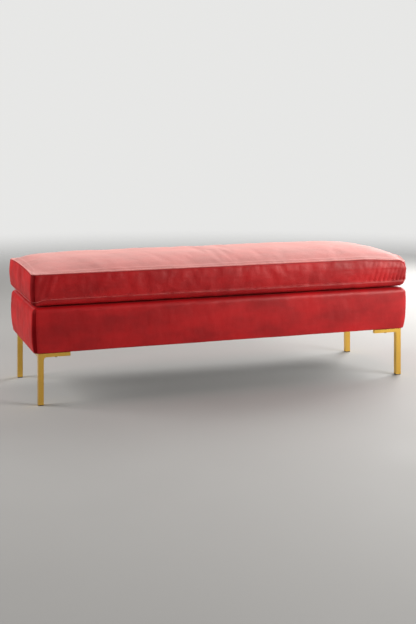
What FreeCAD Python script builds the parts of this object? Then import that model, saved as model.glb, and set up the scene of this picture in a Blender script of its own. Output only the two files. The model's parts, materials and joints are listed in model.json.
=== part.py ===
import FreeCAD, Part
import math
import os

import Sketcher

# An upholstered bench: a padded velvet box on four brass corner legs, with a loose box cushion on top.
# Millimetres, +X along the bench, +Y to the back, +Z up. The origin is on the floor under the centre.

os.makedirs("parts", exist_ok=True)
doc = FreeCAD.newDocument("Bench")

# Driving sizes

SIZES = [
    # The padded base
    ("base_length", 1400.0),
    ("base_depth", 448.0),
    ("leg_height", 175.0),
    ("base_height", 154.0),
    ("base_corner_radius", 18.0),
    ("base_shoulder_radius", 18.0),
    ("base_bulge", 6.0),
    ("cover_thickness", 1.5),
    ("cover_return", 45.0),
    ("deck_border", 70.0),
    ("dust_cover_thickness", 0.8),
    ("dust_cover_inset", 10.0),
    # The wooden frame
    ("frame_inset", 3.5),
    ("frame_corner_radius", 15.0),
    ("rail_thickness", 30.0),
    ("rail_height", 125.0),
    ("brace_thickness", 25.0),
    ("brace_height", 60.0),
    ("block_side", 60.0),
    ("block_height", 90.0),
    # The legs
    ("post_side", 19.0),
    ("post_wall", 2.0),
    ("post_end_inset", 14.0),
    ("post_face_inset", 3.8),
    ("post_solid_top", 32.0),
    ("arm_length", 110.0),
    ("arm_width", 15.0),
    ("arm_height", 12.5),
    ("arm_fillet", 10.0),
    ("glide_cap", 2.5),
    ("glide_inset", 0.5),
    ("glide_stem", 12.0),
    # Fasteners
    ("screw_radius", 2.0),
    ("screw_length", 36.0),
    ("screw_head_radius", 4.5),
    ("screw_head_height", 2.5),
    ("screw_along_arm", 62.0),
    ("frame_screw_radius", 2.5),
    ("frame_screw_length", 70.0),
    ("frame_screw_head_radius", 5.0),
    ("frame_screw_head_height", 3.0),
    ("frame_screw_low", 40.0),
    ("frame_screw_high", 95.0),
    ("frame_screw_sink", 1.2),
    ("stud_radius", 4.0),
    ("stud_depth", 20.0),
    ("insert_radius", 6.0),
    ("insert_length", 18.0),
    ("hole_clearance", 0.05),
    ("staple_width", 10.0),
    ("staple_wire", 0.8),
    ("staple_leg", 8.0),
    ("staple_inset", 18.0),
    ("staple_end_gap", 172.0),
    # The springs and the deck
    ("spring_wire", 3.5),
    ("spring_half_width", 24.0),
    ("spring_end_gap", 106.5),
    ("clip_sheet", 1.0),
    ("clip_width", 20.0),
    ("clip_base", 16.0),
    ("clip_lip", 10.0),
    ("clip_clearance", 0.15),
    ("felt_thickness", 2.5),
    # The loose cushion
    ("seat_gap", 0.3),
    ("cushion_overhang", 7.0),
    ("cushion_corner_radius", 20.0),
    ("cushion_under_radius", 25.7),
    ("boxing_height", 86.0),
    ("boxing_bulge", 4.0),
    ("crown_height", 39.0),
    ("crown_run_out", 466.0),
    ("core_inset", 24.0),
    ("core_clearance", 1.0),
    ("core_corner_radius", 12.0),
    # The zip at the back of the cushion
    ("zip_end_gap", 62.0),
    ("zip_slot_height", 12.0),
    ("zip_slot_extra", 15.0),
    ("zip_strip_extra", 10.0),
    ("zip_recess", 5.0),
    ("zip_pocket_extra", 1.0),
    ("tape_width", 12.0),
    ("tape_thickness", 0.6),
    ("tape_extra", 10.0),
    ("tooth_height", 2.2),
    ("tooth_thickness", 1.6),
    ("tooth_gap", 1.4),
    ("stop_length", 3.0),
    ("slider_length", 12.0),
    ("slider_half_width", 4.2),
    ("slider_plate", 1.0),
    ("slider_clearance", 0.3),
    ("slider_web_length", 3.0),
    ("slider_end_gap", 2.0),
    ("bail_length", 6.0),
    ("bail_width", 2.0),
    ("bail_sheet", 0.7),
    ("pull_pin_radius", 0.5),
    ("pull_clearance", 0.2),
    ("pull_arm", 1.3),
    ("pull_eye", 5.0),
    ("pull_length", 20.0),
    ("pull_half_width", 3.0),
    ("pull_thickness", 1.0),
]

# How fast the crown rises from the long seams and the end seams, and how round it is near its top

CROWN_SIDE_POWER = 3
CROWN_END_POWER = 6
CROWN_ROUNDNESS = 0.85

SPRING_COUNT = 8
SPRING_RUNS = 17
STAPLES_ALONG = 12
STAPLES_ACROSS = 3

# How far a cutting tool stands past the face that it cuts, in millimetres

TOOL_MARGIN = 1.0

sheet = doc.addObject("Spreadsheet::Sheet", "Sizes")
for row, (alias, number) in enumerate(SIZES, start=1):
    sheet.set(f"A{row}", alias)
    sheet.set(f"B{row}", str(number))
    sheet.setAlias(f"B{row}", alias)
doc.recompute()


class Size:
    """A length that carries its number and its formula on the sheet, so features can be bound to it."""

    def __init__(self, number, formula):
        self.number = number
        self.formula = formula

    def __add__(self, other):
        other = as_size(other)
        return Size(self.number + other.number, f"({self.formula} + {other.formula})")

    def __sub__(self, other):
        other = as_size(other)
        return Size(self.number - other.number, f"({self.formula} - {other.formula})")

    def __rsub__(self, other):
        return as_size(other) - self

    def __mul__(self, factor):
        return Size(self.number * factor, f"({self.formula} * {factor})")

    def __truediv__(self, divisor):
        return Size(self.number / divisor, f"({self.formula} / {divisor})")

    def __neg__(self):
        return self * -1

    __radd__ = __add__
    __rmul__ = __mul__


def as_size(length):
    """Turn a plain number into a Size, and leave a Size as it is."""
    if isinstance(length, Size):
        return length
    return Size(float(length), f"{float(length)}")


def size(alias):
    """The sheet's value of that name."""
    return Size(float(sheet.get(alias)), f"Sizes.{alias}")


def bind(thing, path, length):
    """Set one property of an object by a formula on the sheet."""
    thing.setExpression(path, as_size(length).formula)


def place(thing, x=0, y=0, z=0):
    """Bind an object's position to the sheet."""
    bind(thing, "Placement.Base.x", x)
    bind(thing, "Placement.Base.y", y)
    bind(thing, "Placement.Base.z", z)
    return thing


# Levels and faces that several pieces share

deck_top = size("leg_height") + size("base_height")
half_length = size("base_length") / 2
half_depth = size("base_depth") / 2
cover = size("cover_thickness")
dust_cover_bottom = size("leg_height") - size("dust_cover_thickness")
frame_bottom = size("leg_height") + cover
rail_top = frame_bottom + size("rail_height")
frame_half_length = half_length - size("frame_inset")
frame_half_depth = half_depth - size("frame_inset")
rail_inner_x = frame_half_length - size("rail_thickness")
rail_inner_y = frame_half_depth - size("rail_thickness")
post_x = half_length - size("post_end_inset")
post_y = half_depth - size("post_face_inset")
post_centre_x = post_x - size("post_side") / 2
post_centre_y = post_y - size("post_side") / 2

spring_gap = size("spring_wire") + 2 * size("clip_clearance")
clip_height = spring_gap + 2 * size("clip_sheet")
spring_level = rail_top + size("clip_sheet") + size("clip_clearance") + size("spring_wire") / 2
spring_half_span = rail_inner_y + size("clip_base") - size("clip_sheet")
spring_half_row = rail_inner_x - size("spring_end_gap")
brace_x = half_length / 3
felt_bottom = rail_top + clip_height
foam_bottom = felt_bottom + size("felt_thickness")

cushion_bottom = deck_top + size("seat_gap")
seam_low = cushion_bottom + size("cushion_under_radius")
seam_high = seam_low + size("boxing_height")
seam_half_length = half_length + size("cushion_overhang")
seam_half_depth = half_depth + size("cushion_overhang")
zip_level = seam_low + size("boxing_height") / 2
tape_outer = seam_half_depth + size("boxing_bulge") - size("zip_recess")
zip_half_length = seam_half_length - size("zip_end_gap")
slot_half_length = zip_half_length + size("zip_slot_extra")
strip_half_length = slot_half_length + size("zip_strip_extra")


# Small builders

def box(name, x_range, y_range, z_range):
    """A block between three pairs of limits."""
    block = doc.addObject("Part::Box", name)
    for edge, (low, high) in zip(("Length", "Width", "Height"), (x_range, y_range, z_range)):
        bind(block, edge, as_size(high) - low)
    return place(block, x_range[0], y_range[0], z_range[0])


def rod(name, radius, length, x, y, z, axis="Z"):
    """A round bar from a point along +Y, -Y or +Z."""
    bar = doc.addObject("Part::Cylinder", name)
    bind(bar, "Radius", radius)
    bind(bar, "Height", length)
    tilt = {"Z": 0, "Y": -90, "-Y": 90}[axis]
    bar.Placement.Rotation = FreeCAD.Rotation(FreeCAD.Vector(1, 0, 0), tilt)
    return place(bar, x, y, z)


def fuse(name, pieces):
    """Join pieces into one."""
    joined = doc.addObject("Part::MultiFuse", name)
    joined.Shapes = pieces
    return joined


def cut(name, base, tool):
    """Take one piece away from another."""
    rest = doc.addObject("Part::Cut", name)
    rest.Base = base
    rest.Tool = tool
    return rest


def common(name, first, second):
    """Keep what two pieces share."""
    shared = doc.addObject("Part::Common", name)
    shared.Base = first
    shared.Tool = second
    return shared


def rounded_sketch(name, level, length, depth, radius):
    """A rounded rectangle about the Z axis, at a height."""
    sketch = doc.addObject("Sketcher::SketchObject", name)
    length, depth, radius, level = as_size(length), as_size(depth), as_size(radius), as_size(level)
    x, y, r = length.number / 2, depth.number / 2, radius.number
    up = FreeCAD.Vector(0, 0, 1)
    corners = [
        ((-x + r, -y), (x - r, -y), (x - r, -y + r), -90),
        ((x, -y + r), (x, y - r), (x - r, y - r), 0),
        ((x - r, y), (-x + r, y), (-x + r, y - r), 90),
        ((-x, y - r), (-x, -y + r), (-x + r, -y + r), 180),
    ]
    for start, end, centre, angle in corners:
        sketch.addGeometry(Part.LineSegment(FreeCAD.Vector(*start, 0), FreeCAD.Vector(*end, 0)))
        circle = Part.Circle(FreeCAD.Vector(*centre, 0), up, r)
        sketch.addGeometry(Part.ArcOfCircle(circle, math.radians(angle), math.radians(angle + 90)))
    for line in (0, 2, 4, 6):
        sketch.addConstraint(Sketcher.Constraint("Tangent", line, 2, line + 1, 1))
        sketch.addConstraint(Sketcher.Constraint("Tangent", line + 1, 2, (line + 2) % 8, 1))
    for arc in (3, 5, 7):
        sketch.addConstraint(Sketcher.Constraint("Equal", 1, arc))
    sketch.addConstraint(Sketcher.Constraint("Horizontal", 4))
    sketch.addConstraint(Sketcher.Constraint("Vertical", 6))
    sketch.addConstraint(Sketcher.Constraint("Symmetric", 0, 1, 0, 2, -2))
    sketch.addConstraint(Sketcher.Constraint("Symmetric", 2, 1, 2, 2, -1))
    dimensions = [
        (Sketcher.Constraint("DistanceX", 6, 1, 2, 1, length.number), length),
        (Sketcher.Constraint("DistanceY", 0, 1, 4, 2, depth.number), depth),
        (Sketcher.Constraint("Radius", 1, radius.number), radius),
    ]
    for constraint, formula in dimensions:
        number = sketch.addConstraint(constraint)
        bind(sketch, f"Constraints[{number}]", formula)
    return place(sketch, z=level)


def loft(name, stations):
    """A smooth solid through rounded rectangles, each (height, half length, half depth, radius)."""
    sections = [
        rounded_sketch(f"{name}_section_{number}", level, 2 * as_size(long), 2 * as_size(deep), radius)
        for number, (level, long, deep, radius) in enumerate(stations)
    ]
    skin = doc.addObject("Part::Loft", name)
    skin.Sections = sections
    skin.Solid = True
    skin.Ruled = False
    return skin


def prism(name, bottom, top, half_long, half_deep, radius):
    """An upright block with rounded corners."""
    block = doc.addObject("Part::Extrusion", name)
    block.Base = rounded_sketch(f"{name}_outline", bottom, 2 * half_long, 2 * half_deep, radius)
    block.DirMode = "Custom"
    block.Dir = FreeCAD.Vector(0, 0, 1)
    block.Solid = True
    bind(block, "LengthFwd", as_size(top) - bottom)
    return block


def body_sketch(body, name, plane, points, arcs=()):
    """A closed outline on one of a body's own planes: (x, y) points, and arcs as {start: (radius, centre)}."""
    sketch = body.newObject("Sketcher::SketchObject", name)
    features = {feature.Role: feature for feature in body.Origin.OriginFeatures}
    sketch.AttachmentSupport = [(features[plane], "")]
    sketch.MapMode = "FlatFace"
    points = [(as_size(x), as_size(y)) for x, y in points]
    spots = [FreeCAD.Vector(x.number, y.number, 0) for x, y in points]
    count = len(points)
    arcs = dict(arcs)
    for number in range(count):
        start, end = spots[number], spots[(number + 1) % count]
        if number in arcs:
            radius, centre = arcs[number]
            add_arc(sketch, start, end, radius.number, FreeCAD.Vector(*centre, 0))
        else:
            sketch.addGeometry(Part.LineSegment(start, end))
    for number in range(count):
        following = (number + 1) % count
        sketch.addConstraint(Sketcher.Constraint("Coincident", number, 2, following, 1))
    for number, (x, y) in enumerate(points):
        pin_point(sketch, number, 1, x, y)
    for number, (radius, _) in arcs.items():
        index = sketch.addConstraint(Sketcher.Constraint("Radius", number, radius.number))
        bind(sketch, f"Constraints[{index}]", radius)
    return sketch


def add_arc(sketch, start, end, radius, centre):
    """Add the short anticlockwise arc from start to end about a centre."""
    first = math.atan2(start.y - centre.y, start.x - centre.x)
    last = math.atan2(end.y - centre.y, end.x - centre.x)
    circle = Part.Circle(centre, FreeCAD.Vector(0, 0, 1), radius)
    sketch.addGeometry(Part.ArcOfCircle(circle, first, last))


def pin_point(sketch, geometry, end, x, y):
    """Hold one point of an outline at its place on the sheet."""
    for kind, axis, length in (("DistanceX", -2, x), ("DistanceY", -1, y)):
        if length.number == 0:
            sketch.addConstraint(Sketcher.Constraint("PointOnObject", geometry, end, axis))
        else:
            index = sketch.addConstraint(Sketcher.Constraint(kind, -1, 1, geometry, end, length.number))
            bind(sketch, f"Constraints[{index}]", length)


def rectangle(x_low, x_high, y_low, y_high):
    """The four points of a rectangle."""
    return [(x_low, y_low), (x_high, y_low), (x_high, y_high), (x_low, y_high)]


def pad(body, name, sketch, length, reverse=False, centred=False):
    """Pad a sketch of a body."""
    feature = body.newObject("PartDesign::Pad", name)
    feature.Profile = sketch
    feature.Reversed = reverse
    feature.Midplane = centred
    bind(feature, "Length", length)
    return feature


def pocket_round(body, name, plane_level, x, y, radius, depth, reverse=False):
    """A round hole square to the XY plane, from a level of the body."""
    sketch = body.newObject("Sketcher::SketchObject", f"{name}_circle")
    features = {feature.Role: feature for feature in body.Origin.OriginFeatures}
    sketch.AttachmentSupport = [(features["XY_Plane"], "")]
    sketch.MapMode = "FlatFace"
    bind(sketch, "AttachmentOffset.Base.z", plane_level)
    x, y, radius = as_size(x), as_size(y), as_size(radius)
    centre = FreeCAD.Vector(x.number, y.number, 0)
    sketch.addGeometry(Part.Circle(centre, FreeCAD.Vector(0, 0, 1), radius.number))
    pin_point(sketch, 0, 3, x, y)
    index = sketch.addConstraint(Sketcher.Constraint("Radius", 0, radius.number))
    bind(sketch, f"Constraints[{index}]", radius)
    hole = body.newObject("PartDesign::Pocket", name)
    hole.Profile = sketch
    hole.Reversed = reverse
    bind(hole, "Length", depth)
    return hole


nodes = []


def keep(piece, label):
    """Name a finished piece and list it for export."""
    piece.Label = label
    nodes.append(piece)
    return piece


def group(label, master, spots):
    """Loose copies of one fastener as a group; each spot is (x, y, z, turn about Z)."""
    doc.recompute()
    copies = []
    for x, y, z, turn in spots:
        move = FreeCAD.Placement(
            FreeCAD.Vector(as_size(x).number, as_size(y).number, as_size(z).number),
            FreeCAD.Rotation(FreeCAD.Vector(0, 0, 1), turn))
        copy = master.Shape.copy()
        copy.Placement = move.multiply(copy.Placement)
        copies.append(copy)
    bunch = doc.addObject("Part::Feature", f"{label}_group")
    bunch.Shape = Part.makeCompound(copies)
    return keep(bunch, label)


# The four corners, each with its outward signs and the turn that brings a front left leg there

CORNERS = {
    "front_left": (-1, -1, 0),
    "front_right": (1, -1, 90),
    "rear_right": (1, 1, 180),
    "rear_left": (-1, 1, 270),
}


def leg(label, side, face, turn):
    """A square tube post with two arms, in its own frame: outer top corner at the origin, arms along +X, +Y."""
    body = doc.addObject("PartDesign::Body", f"{label}_body")
    post, width, reach = size("post_side"), size("arm_width"), size("arm_length")
    height, fillet = size("arm_height"), size("arm_fillet")
    post_length = dust_cover_bottom - size("glide_cap")
    pad(body, "post", body_sketch(body, "post_outline", "XY_Plane", rectangle(0, post, 0, post)),
        post_length, reverse=True)
    arm_points = [
        (post, 0),
        (reach, 0),
        (reach, -height),
        (post + fillet, -height),
        (post, -height - fillet),
    ]
    centre = ((post + fillet).number, (-height - fillet).number)
    corner_arc = {3: (fillet, centre)}
    for plane, reverse in (("XZ_Plane", True), ("YZ_Plane", False)):
        outline = body_sketch(body, f"arm_{plane}_outline", plane, arm_points, corner_arc)
        pad(body, f"arm_{plane}", outline, width, reverse=reverse)
    wall = size("post_wall")
    bore = body_sketch(body, "tube_outline", "XY_Plane", rectangle(wall, post - wall, wall, post - wall))
    bind(bore, "AttachmentOffset.Base.z", -post_length)
    hollow = body.newObject("PartDesign::Pocket", "tube_hollow")
    hollow.Profile = bore
    hollow.Reversed = True
    bind(hollow, "Length", post_length - size("post_solid_top"))
    pocket_round(body, "stud_hole", 0, post / 2, post / 2,
                 size("stud_radius") + size("hole_clearance"), size("stud_depth"))
    through = 2 * height
    along, across = size("screw_along_arm"), width / 2
    radius = size("screw_radius") + size("hole_clearance")
    pocket_round(body, "screw_hole_x", 0, along, across, radius, through)
    pocket_round(body, "screw_hole_y", 0, across, along, radius, through)
    body.Placement.Rotation = FreeCAD.Rotation(FreeCAD.Vector(0, 0, 1), turn)
    place(body, side * post_x, face * post_y, dust_cover_bottom)
    keep(body, label)


def glide(label, side, face):
    """A nylon foot: a thin cap under the post and a stem that plugs the tube."""
    body = doc.addObject("PartDesign::Body", f"{label}_body")
    cap_half = size("post_side") / 2 - size("glide_inset")
    stem_half = size("post_side") / 2 - size("post_wall") - size("hole_clearance")
    cap = body_sketch(body, "cap_outline", "XY_Plane", rectangle(-cap_half, cap_half, -cap_half, cap_half))
    pad(body, "cap", cap, size("glide_cap"))
    stem = body_sketch(body, "stem_outline", "XY_Plane", rectangle(-stem_half, stem_half, -stem_half, stem_half))
    pad(body, "stem", stem, size("glide_cap") + size("glide_stem"))
    place(body, side * post_centre_x, face * post_centre_y)
    keep(body, label)


def screw_master(name, radius, length, head_radius, head_height, axis):
    """A screw whose head's underside lies at the origin and whose shank runs along an axis."""
    if axis == "Z":
        shank = rod(f"{name}_shank", radius, length, 0, 0, 0)
        head = rod(f"{name}_head", head_radius, head_height, 0, 0, -head_height)
    else:
        shank = rod(f"{name}_shank", radius, length, 0, 0, 0, "Y")
        head = rod(f"{name}_head", head_radius, head_height, 0, -head_height, 0, "Y")
    return fuse(name, [shank, head])


def arm_screw_spots():
    """Where the screws go up through the arms: two for each leg."""
    along = size("screw_along_arm")
    across = size("arm_width") / 2
    spots = []
    for side, face, _ in CORNERS.values():
        spots.append((side * (post_x - along), face * (post_y - across)))
        spots.append((side * (post_x - across), face * (post_y - along)))
    return spots


def stud_spots():
    """Where the studs go up from the posts."""
    return [(side * post_centre_x, face * post_centre_y) for side, face, _ in CORNERS.values()]


def leg_fasteners():
    """The screws through the arms, and each post's stud and its threaded insert in the rail."""
    screw = screw_master("arm_screw", size("screw_radius"), size("screw_length"),
                         size("screw_head_radius"), size("screw_head_height"), "Z")
    arm_bottom = dust_cover_bottom - size("arm_height")
    group("leg_screws", screw, [(x, y, arm_bottom, 0) for x, y in arm_screw_spots()])
    stud_low = dust_cover_bottom - size("stud_depth") + size("hole_clearance")
    stud_top = frame_bottom + size("insert_length")
    stud = rod("stud", size("stud_radius"), stud_top - stud_low, 0, 0, 0)
    group("leg_studs", stud, [(x, y, stud_low, 0) for x, y in stud_spots()])
    sleeve = rod("insert_sleeve", size("insert_radius"), size("insert_length"), 0, 0, 0)
    thread = rod("insert_thread", size("stud_radius") + size("hole_clearance"), size("insert_length"), 0, 0, 0)
    insert = cut("insert", sleeve, thread)
    group("threaded_inserts", insert, [(x, y, frame_bottom, 0) for x, y in stud_spots()])


def even_shares(count):
    """Evenly spaced numbers from -1 to 1."""
    return [2 * number / (count - 1) - 1 for number in range(count)]


def staple_spots():
    """The staples round the dust cover, between the arms: (x, y, turn)."""
    spots = []
    line_y = half_depth - size("staple_inset")
    line_x = half_length - size("staple_inset")
    for share in even_shares(STAPLES_ALONG):
        x = (half_length - size("staple_end_gap")) * share
        spots += [(x, -line_y, 0), (x, line_y, 0)]
    for share in even_shares(STAPLES_ACROSS):
        y = (half_depth - size("staple_end_gap")) * share
        spots += [(-line_x, y, 90), (line_x, y, 90)]
    return spots


def staple_holes():
    """The slots that the staples' legs make, as one tool."""
    wire = size("staple_wire")
    reach = size("staple_width") / 2 - wire / 2
    cutters = []
    for number, (x, y, turn) in enumerate(staple_spots()):
        for end in (-1, 1):
            dx, dy = (end * reach, 0) if turn == 0 else (0, end * reach)
            cutters.append(box(
                f"staple_slot_{number}_{end + 1}",
                (x + dx - wire / 2, x + dx + wire / 2),
                (y + dy - wire / 2, y + dy + wire / 2),
                (dust_cover_bottom, dust_cover_bottom + size("staple_leg"))))
    return cutters


def staples():
    """Wire staples that hold the dust cover to the rails."""
    wire, half = size("staple_wire"), size("staple_width") / 2
    crown = box("staple_crown", (-half, half), (-wire / 2, wire / 2), (-wire, 0))
    left = box("staple_leg_left", (-half, wire - half), (-wire / 2, wire / 2), (0, size("staple_leg")))
    right = box("staple_leg_right", (half - wire, half), (-wire / 2, wire / 2), (0, size("staple_leg")))
    master = fuse("staple", [crown, left, right])
    group("staples", master, [(x, y, dust_cover_bottom, turn) for x, y, turn in staple_spots()])


def hole_tools():
    """Every hole that rises through the bottom of the base, as one tool."""
    low = dust_cover_bottom - TOOL_MARGIN
    clearance = size("hole_clearance")
    tools = staple_holes()
    arm_bottom = dust_cover_bottom - size("arm_height")
    for number, (x, y) in enumerate(arm_screw_spots()):
        tools.append(rod(f"screw_hole_{number}", size("screw_radius") + clearance,
                         arm_bottom + size("screw_length") + clearance - low, x, y, low))
    for number, (x, y) in enumerate(stud_spots()):
        tools.append(rod(f"stud_hole_{number}", size("stud_radius") + clearance, frame_bottom - low, x, y, low))
        tools.append(rod(f"insert_hole_{number}", size("insert_radius") + clearance,
                         size("insert_length") + clearance, x, y, frame_bottom))
    return fuse("underside_holes", tools)


def frame_screw_spots():
    """The screws that hold the end rails and the braces between the long rails."""
    spots = []
    end_x = frame_half_length - size("rail_thickness") / 2
    for face, turn in ((-1, 0), (1, 180)):
        for side in (-1, 1):
            for rise in (size("frame_screw_low"), size("frame_screw_high")):
                spots.append((side * end_x, face * frame_half_depth, frame_bottom + rise, turn))
            brace_level = frame_bottom + size("brace_height") / 2
            spots.append((side * brace_x, face * frame_half_depth, brace_level, turn))
    return spots


def frame_screw_tools():
    """The pilot holes and head recesses of the frame screws, as one tool."""
    clearance = size("hole_clearance")
    recess_depth = size("frame_screw_sink") + size("frame_screw_head_height")
    tools = []
    for number, (x, y, z, turn) in enumerate(frame_screw_spots()):
        axis = "Y" if turn == 0 else "-Y"
        tools.append(rod(f"pilot_{number}", size("frame_screw_radius") + clearance,
                         size("frame_screw_length") + clearance, x, y, z, axis))
        tools.append(rod(f"recess_{number}", size("frame_screw_head_radius") + clearance,
                         recess_depth, x, y, z, axis))
    return fuse("frame_screw_holes", tools)


def frame_screws():
    """Wood screws whose heads are sunk under the long rails' outer faces."""
    inset = size("frame_screw_sink") + size("frame_screw_head_height")
    length = size("frame_screw_length") - inset
    master = screw_master("frame_screw", size("frame_screw_radius"), length,
                          size("frame_screw_head_radius"), size("frame_screw_head_height"), "Y")
    spots = []
    for x, y, z, turn in frame_screw_spots():
        inward = inset if turn == 0 else -inset
        spots.append((x, y + inward, z, turn))
    group("frame_screws", master, spots)


def wooden_frame(envelope, underside, screw_holes):
    """Four rails, two braces and four corner blocks."""
    holes = fuse("frame_holes", [underside, screw_holes])
    levels = (frame_bottom, rail_top)
    spans = {
        "front_rail": ((-frame_half_length, frame_half_length), (-frame_half_depth, -rail_inner_y)),
        "back_rail": ((-frame_half_length, frame_half_length), (rail_inner_y, frame_half_depth)),
        "left_end_rail": ((-frame_half_length, -rail_inner_x), (-rail_inner_y, rail_inner_y)),
        "right_end_rail": ((rail_inner_x, frame_half_length), (-rail_inner_y, rail_inner_y)),
    }
    for label, (x_range, y_range) in spans.items():
        plank = common(f"{label}_shape", box(f"{label}_plank", x_range, y_range, levels), envelope)
        keep(cut(f"{label}_drilled", plank, holes), label)
    for label, side in (("left_brace", -1), ("right_brace", 1)):
        middle = side * brace_x
        half = size("brace_thickness") / 2
        plank = box(f"{label}_plank", (middle - half, middle + half), (-rail_inner_y, rail_inner_y),
                    (frame_bottom, frame_bottom + size("brace_height")))
        keep(cut(f"{label}_drilled", plank, screw_holes), label)
    for corner, (_, _, turn) in CORNERS.items():
        corner_block(f"corner_block_{corner}", corner, turn)


def corner_block(label, corner, turn):
    """A three-cornered glue block in the angle of two rails."""
    side, face, _ = CORNERS[corner]
    body = doc.addObject("PartDesign::Body", f"{label}_body")
    leg_side = size("block_side")
    outline = body_sketch(body, "outline", "XY_Plane", [(0, 0), (leg_side, 0), (0, leg_side)])
    pad(body, "block", outline, size("block_height"))
    body.Placement.Rotation = FreeCAD.Rotation(FreeCAD.Vector(0, 0, 1), turn)
    place(body, side * rail_inner_x, face * rail_inner_y, frame_bottom)
    keep(body, label)


def spring_path():
    """The zigzag line of one spring, along Y: straight runs joined by half turns of two quarter arcs."""
    span = 2 * spring_half_span.number
    pitch = span / (SPRING_RUNS - 1)
    radius = pitch / 2
    reach = size("spring_half_width").number - radius
    slant = radius * math.sin(math.radians(45))
    edges = []
    for run in range(SPRING_RUNS):
        way = 1 if run % 2 == 0 else -1
        y = run * pitch - span / 2
        start = FreeCAD.Vector(-way * reach, y, 0)
        end = FreeCAD.Vector(way * reach, y, 0)
        edges.append(Part.makeLine(start, end))
        if run < SPRING_RUNS - 1:
            far = FreeCAD.Vector(way * (reach + radius), y + radius, 0)
            back = FreeCAD.Vector(way * reach, y + pitch, 0)
            near_mid = FreeCAD.Vector(way * (reach + slant), y + radius - slant, 0)
            far_mid = FreeCAD.Vector(way * (reach + slant), y + radius + slant, 0)
            edges.append(Part.Arc(end, near_mid, far).toShape())
            edges.append(Part.Arc(far, far_mid, back).toShape())
    return Part.Wire(edges)


def springs():
    """Zigzag wire springs that run from the front rail to the back rail."""
    path = spring_path()
    start = path.Edges[0].Vertexes[0].Point
    ring = Part.makeCircle(size("spring_wire").number / 2, start, FreeCAD.Vector(1, 0, 0))
    wire = path.makePipeShell([Part.Wire([ring])], True, False)
    for number, share in enumerate(even_shares(SPRING_COUNT), start=1):
        label = f"seat_spring_{number}"
        spring = doc.addObject("Part::Feature", f"{label}_wire")
        spring.Shape = wire
        place(spring, x=spring_half_row * share, z=spring_level)
        keep(spring, label)


def spring_clips():
    """Folded sheet clips on the long rails, one at each end of each spring."""
    body = doc.addObject("PartDesign::Body", "clip_body")
    sheet_size, base, lip = size("clip_sheet"), size("clip_base"), size("clip_lip")
    points = [
        (0, 0),
        (base, 0),
        (base, sheet_size),
        (sheet_size, sheet_size),
        (sheet_size, clip_height - sheet_size),
        (lip, clip_height - sheet_size),
        (lip, clip_height),
        (0, clip_height),
    ]
    pad(body, "clip", body_sketch(body, "fold", "YZ_Plane", points), size("clip_width"), centred=True)
    back = spring_half_span + size("spring_wire") / 2 + size("clip_clearance") + sheet_size
    spots = []
    for share in even_shares(SPRING_COUNT):
        x = spring_half_row * share
        spots += [(x, -back, rail_top, 0), (x, back, rail_top, 180)]
    group("spring_clips", body, spots)


def base_form(name, inset):
    """The padded base's rounded form, drawn in at the bottom edge; inset is measured in from its skin."""
    radius = size("base_corner_radius") - inset
    low = size("leg_height") + inset
    shoulder = deck_top - size("base_shoulder_radius")
    sides = []
    for step in range(5):
        share = step / 4
        bulge = size("base_bulge") * math.sin(math.radians(90 * share))
        level = low + (shoulder - low) * share
        sides.append((level, half_length + bulge - inset, half_depth + bulge - inset, radius))
    turn = size("base_shoulder_radius") - inset
    top = []
    for angle in (0, 20, 40, 60, 75, 90):
        inward = turn * (1 - math.cos(math.radians(angle)))
        level = shoulder + turn * math.sin(math.radians(angle))
        full = size("base_bulge") - inset - inward
        top.append((level, half_length + full, half_depth + full, radius))
    return fuse(name, [loft(f"{name}_sides", sides), loft(f"{name}_shoulder", top)])


def wedges():
    """Four blocks that part the base's skin at its corner seams."""
    past = size("base_bulge") + TOOL_MARGIN
    outer_x, outer_y = half_length + past, half_depth + past
    inner_x = half_length - half_depth
    outlines = {
        "front": [(-outer_x, -outer_y), (outer_x, -outer_y), (inner_x, 0), (-inner_x, 0)],
        "back": [(-outer_x, outer_y), (-inner_x, 0), (inner_x, 0), (outer_x, outer_y)],
        "left": [(-outer_x, -outer_y), (-inner_x, 0), (-outer_x, outer_y)],
        "right": [(outer_x, -outer_y), (outer_x, outer_y), (inner_x, 0)],
    }
    blocks = {}
    for side, points in outlines.items():
        body = doc.addObject("PartDesign::Body", f"{side}_wedge")
        pad(body, "wedge", body_sketch(body, "outline", "XY_Plane", points), 2 * deck_top)
        blocks[side] = body
    return blocks


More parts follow.
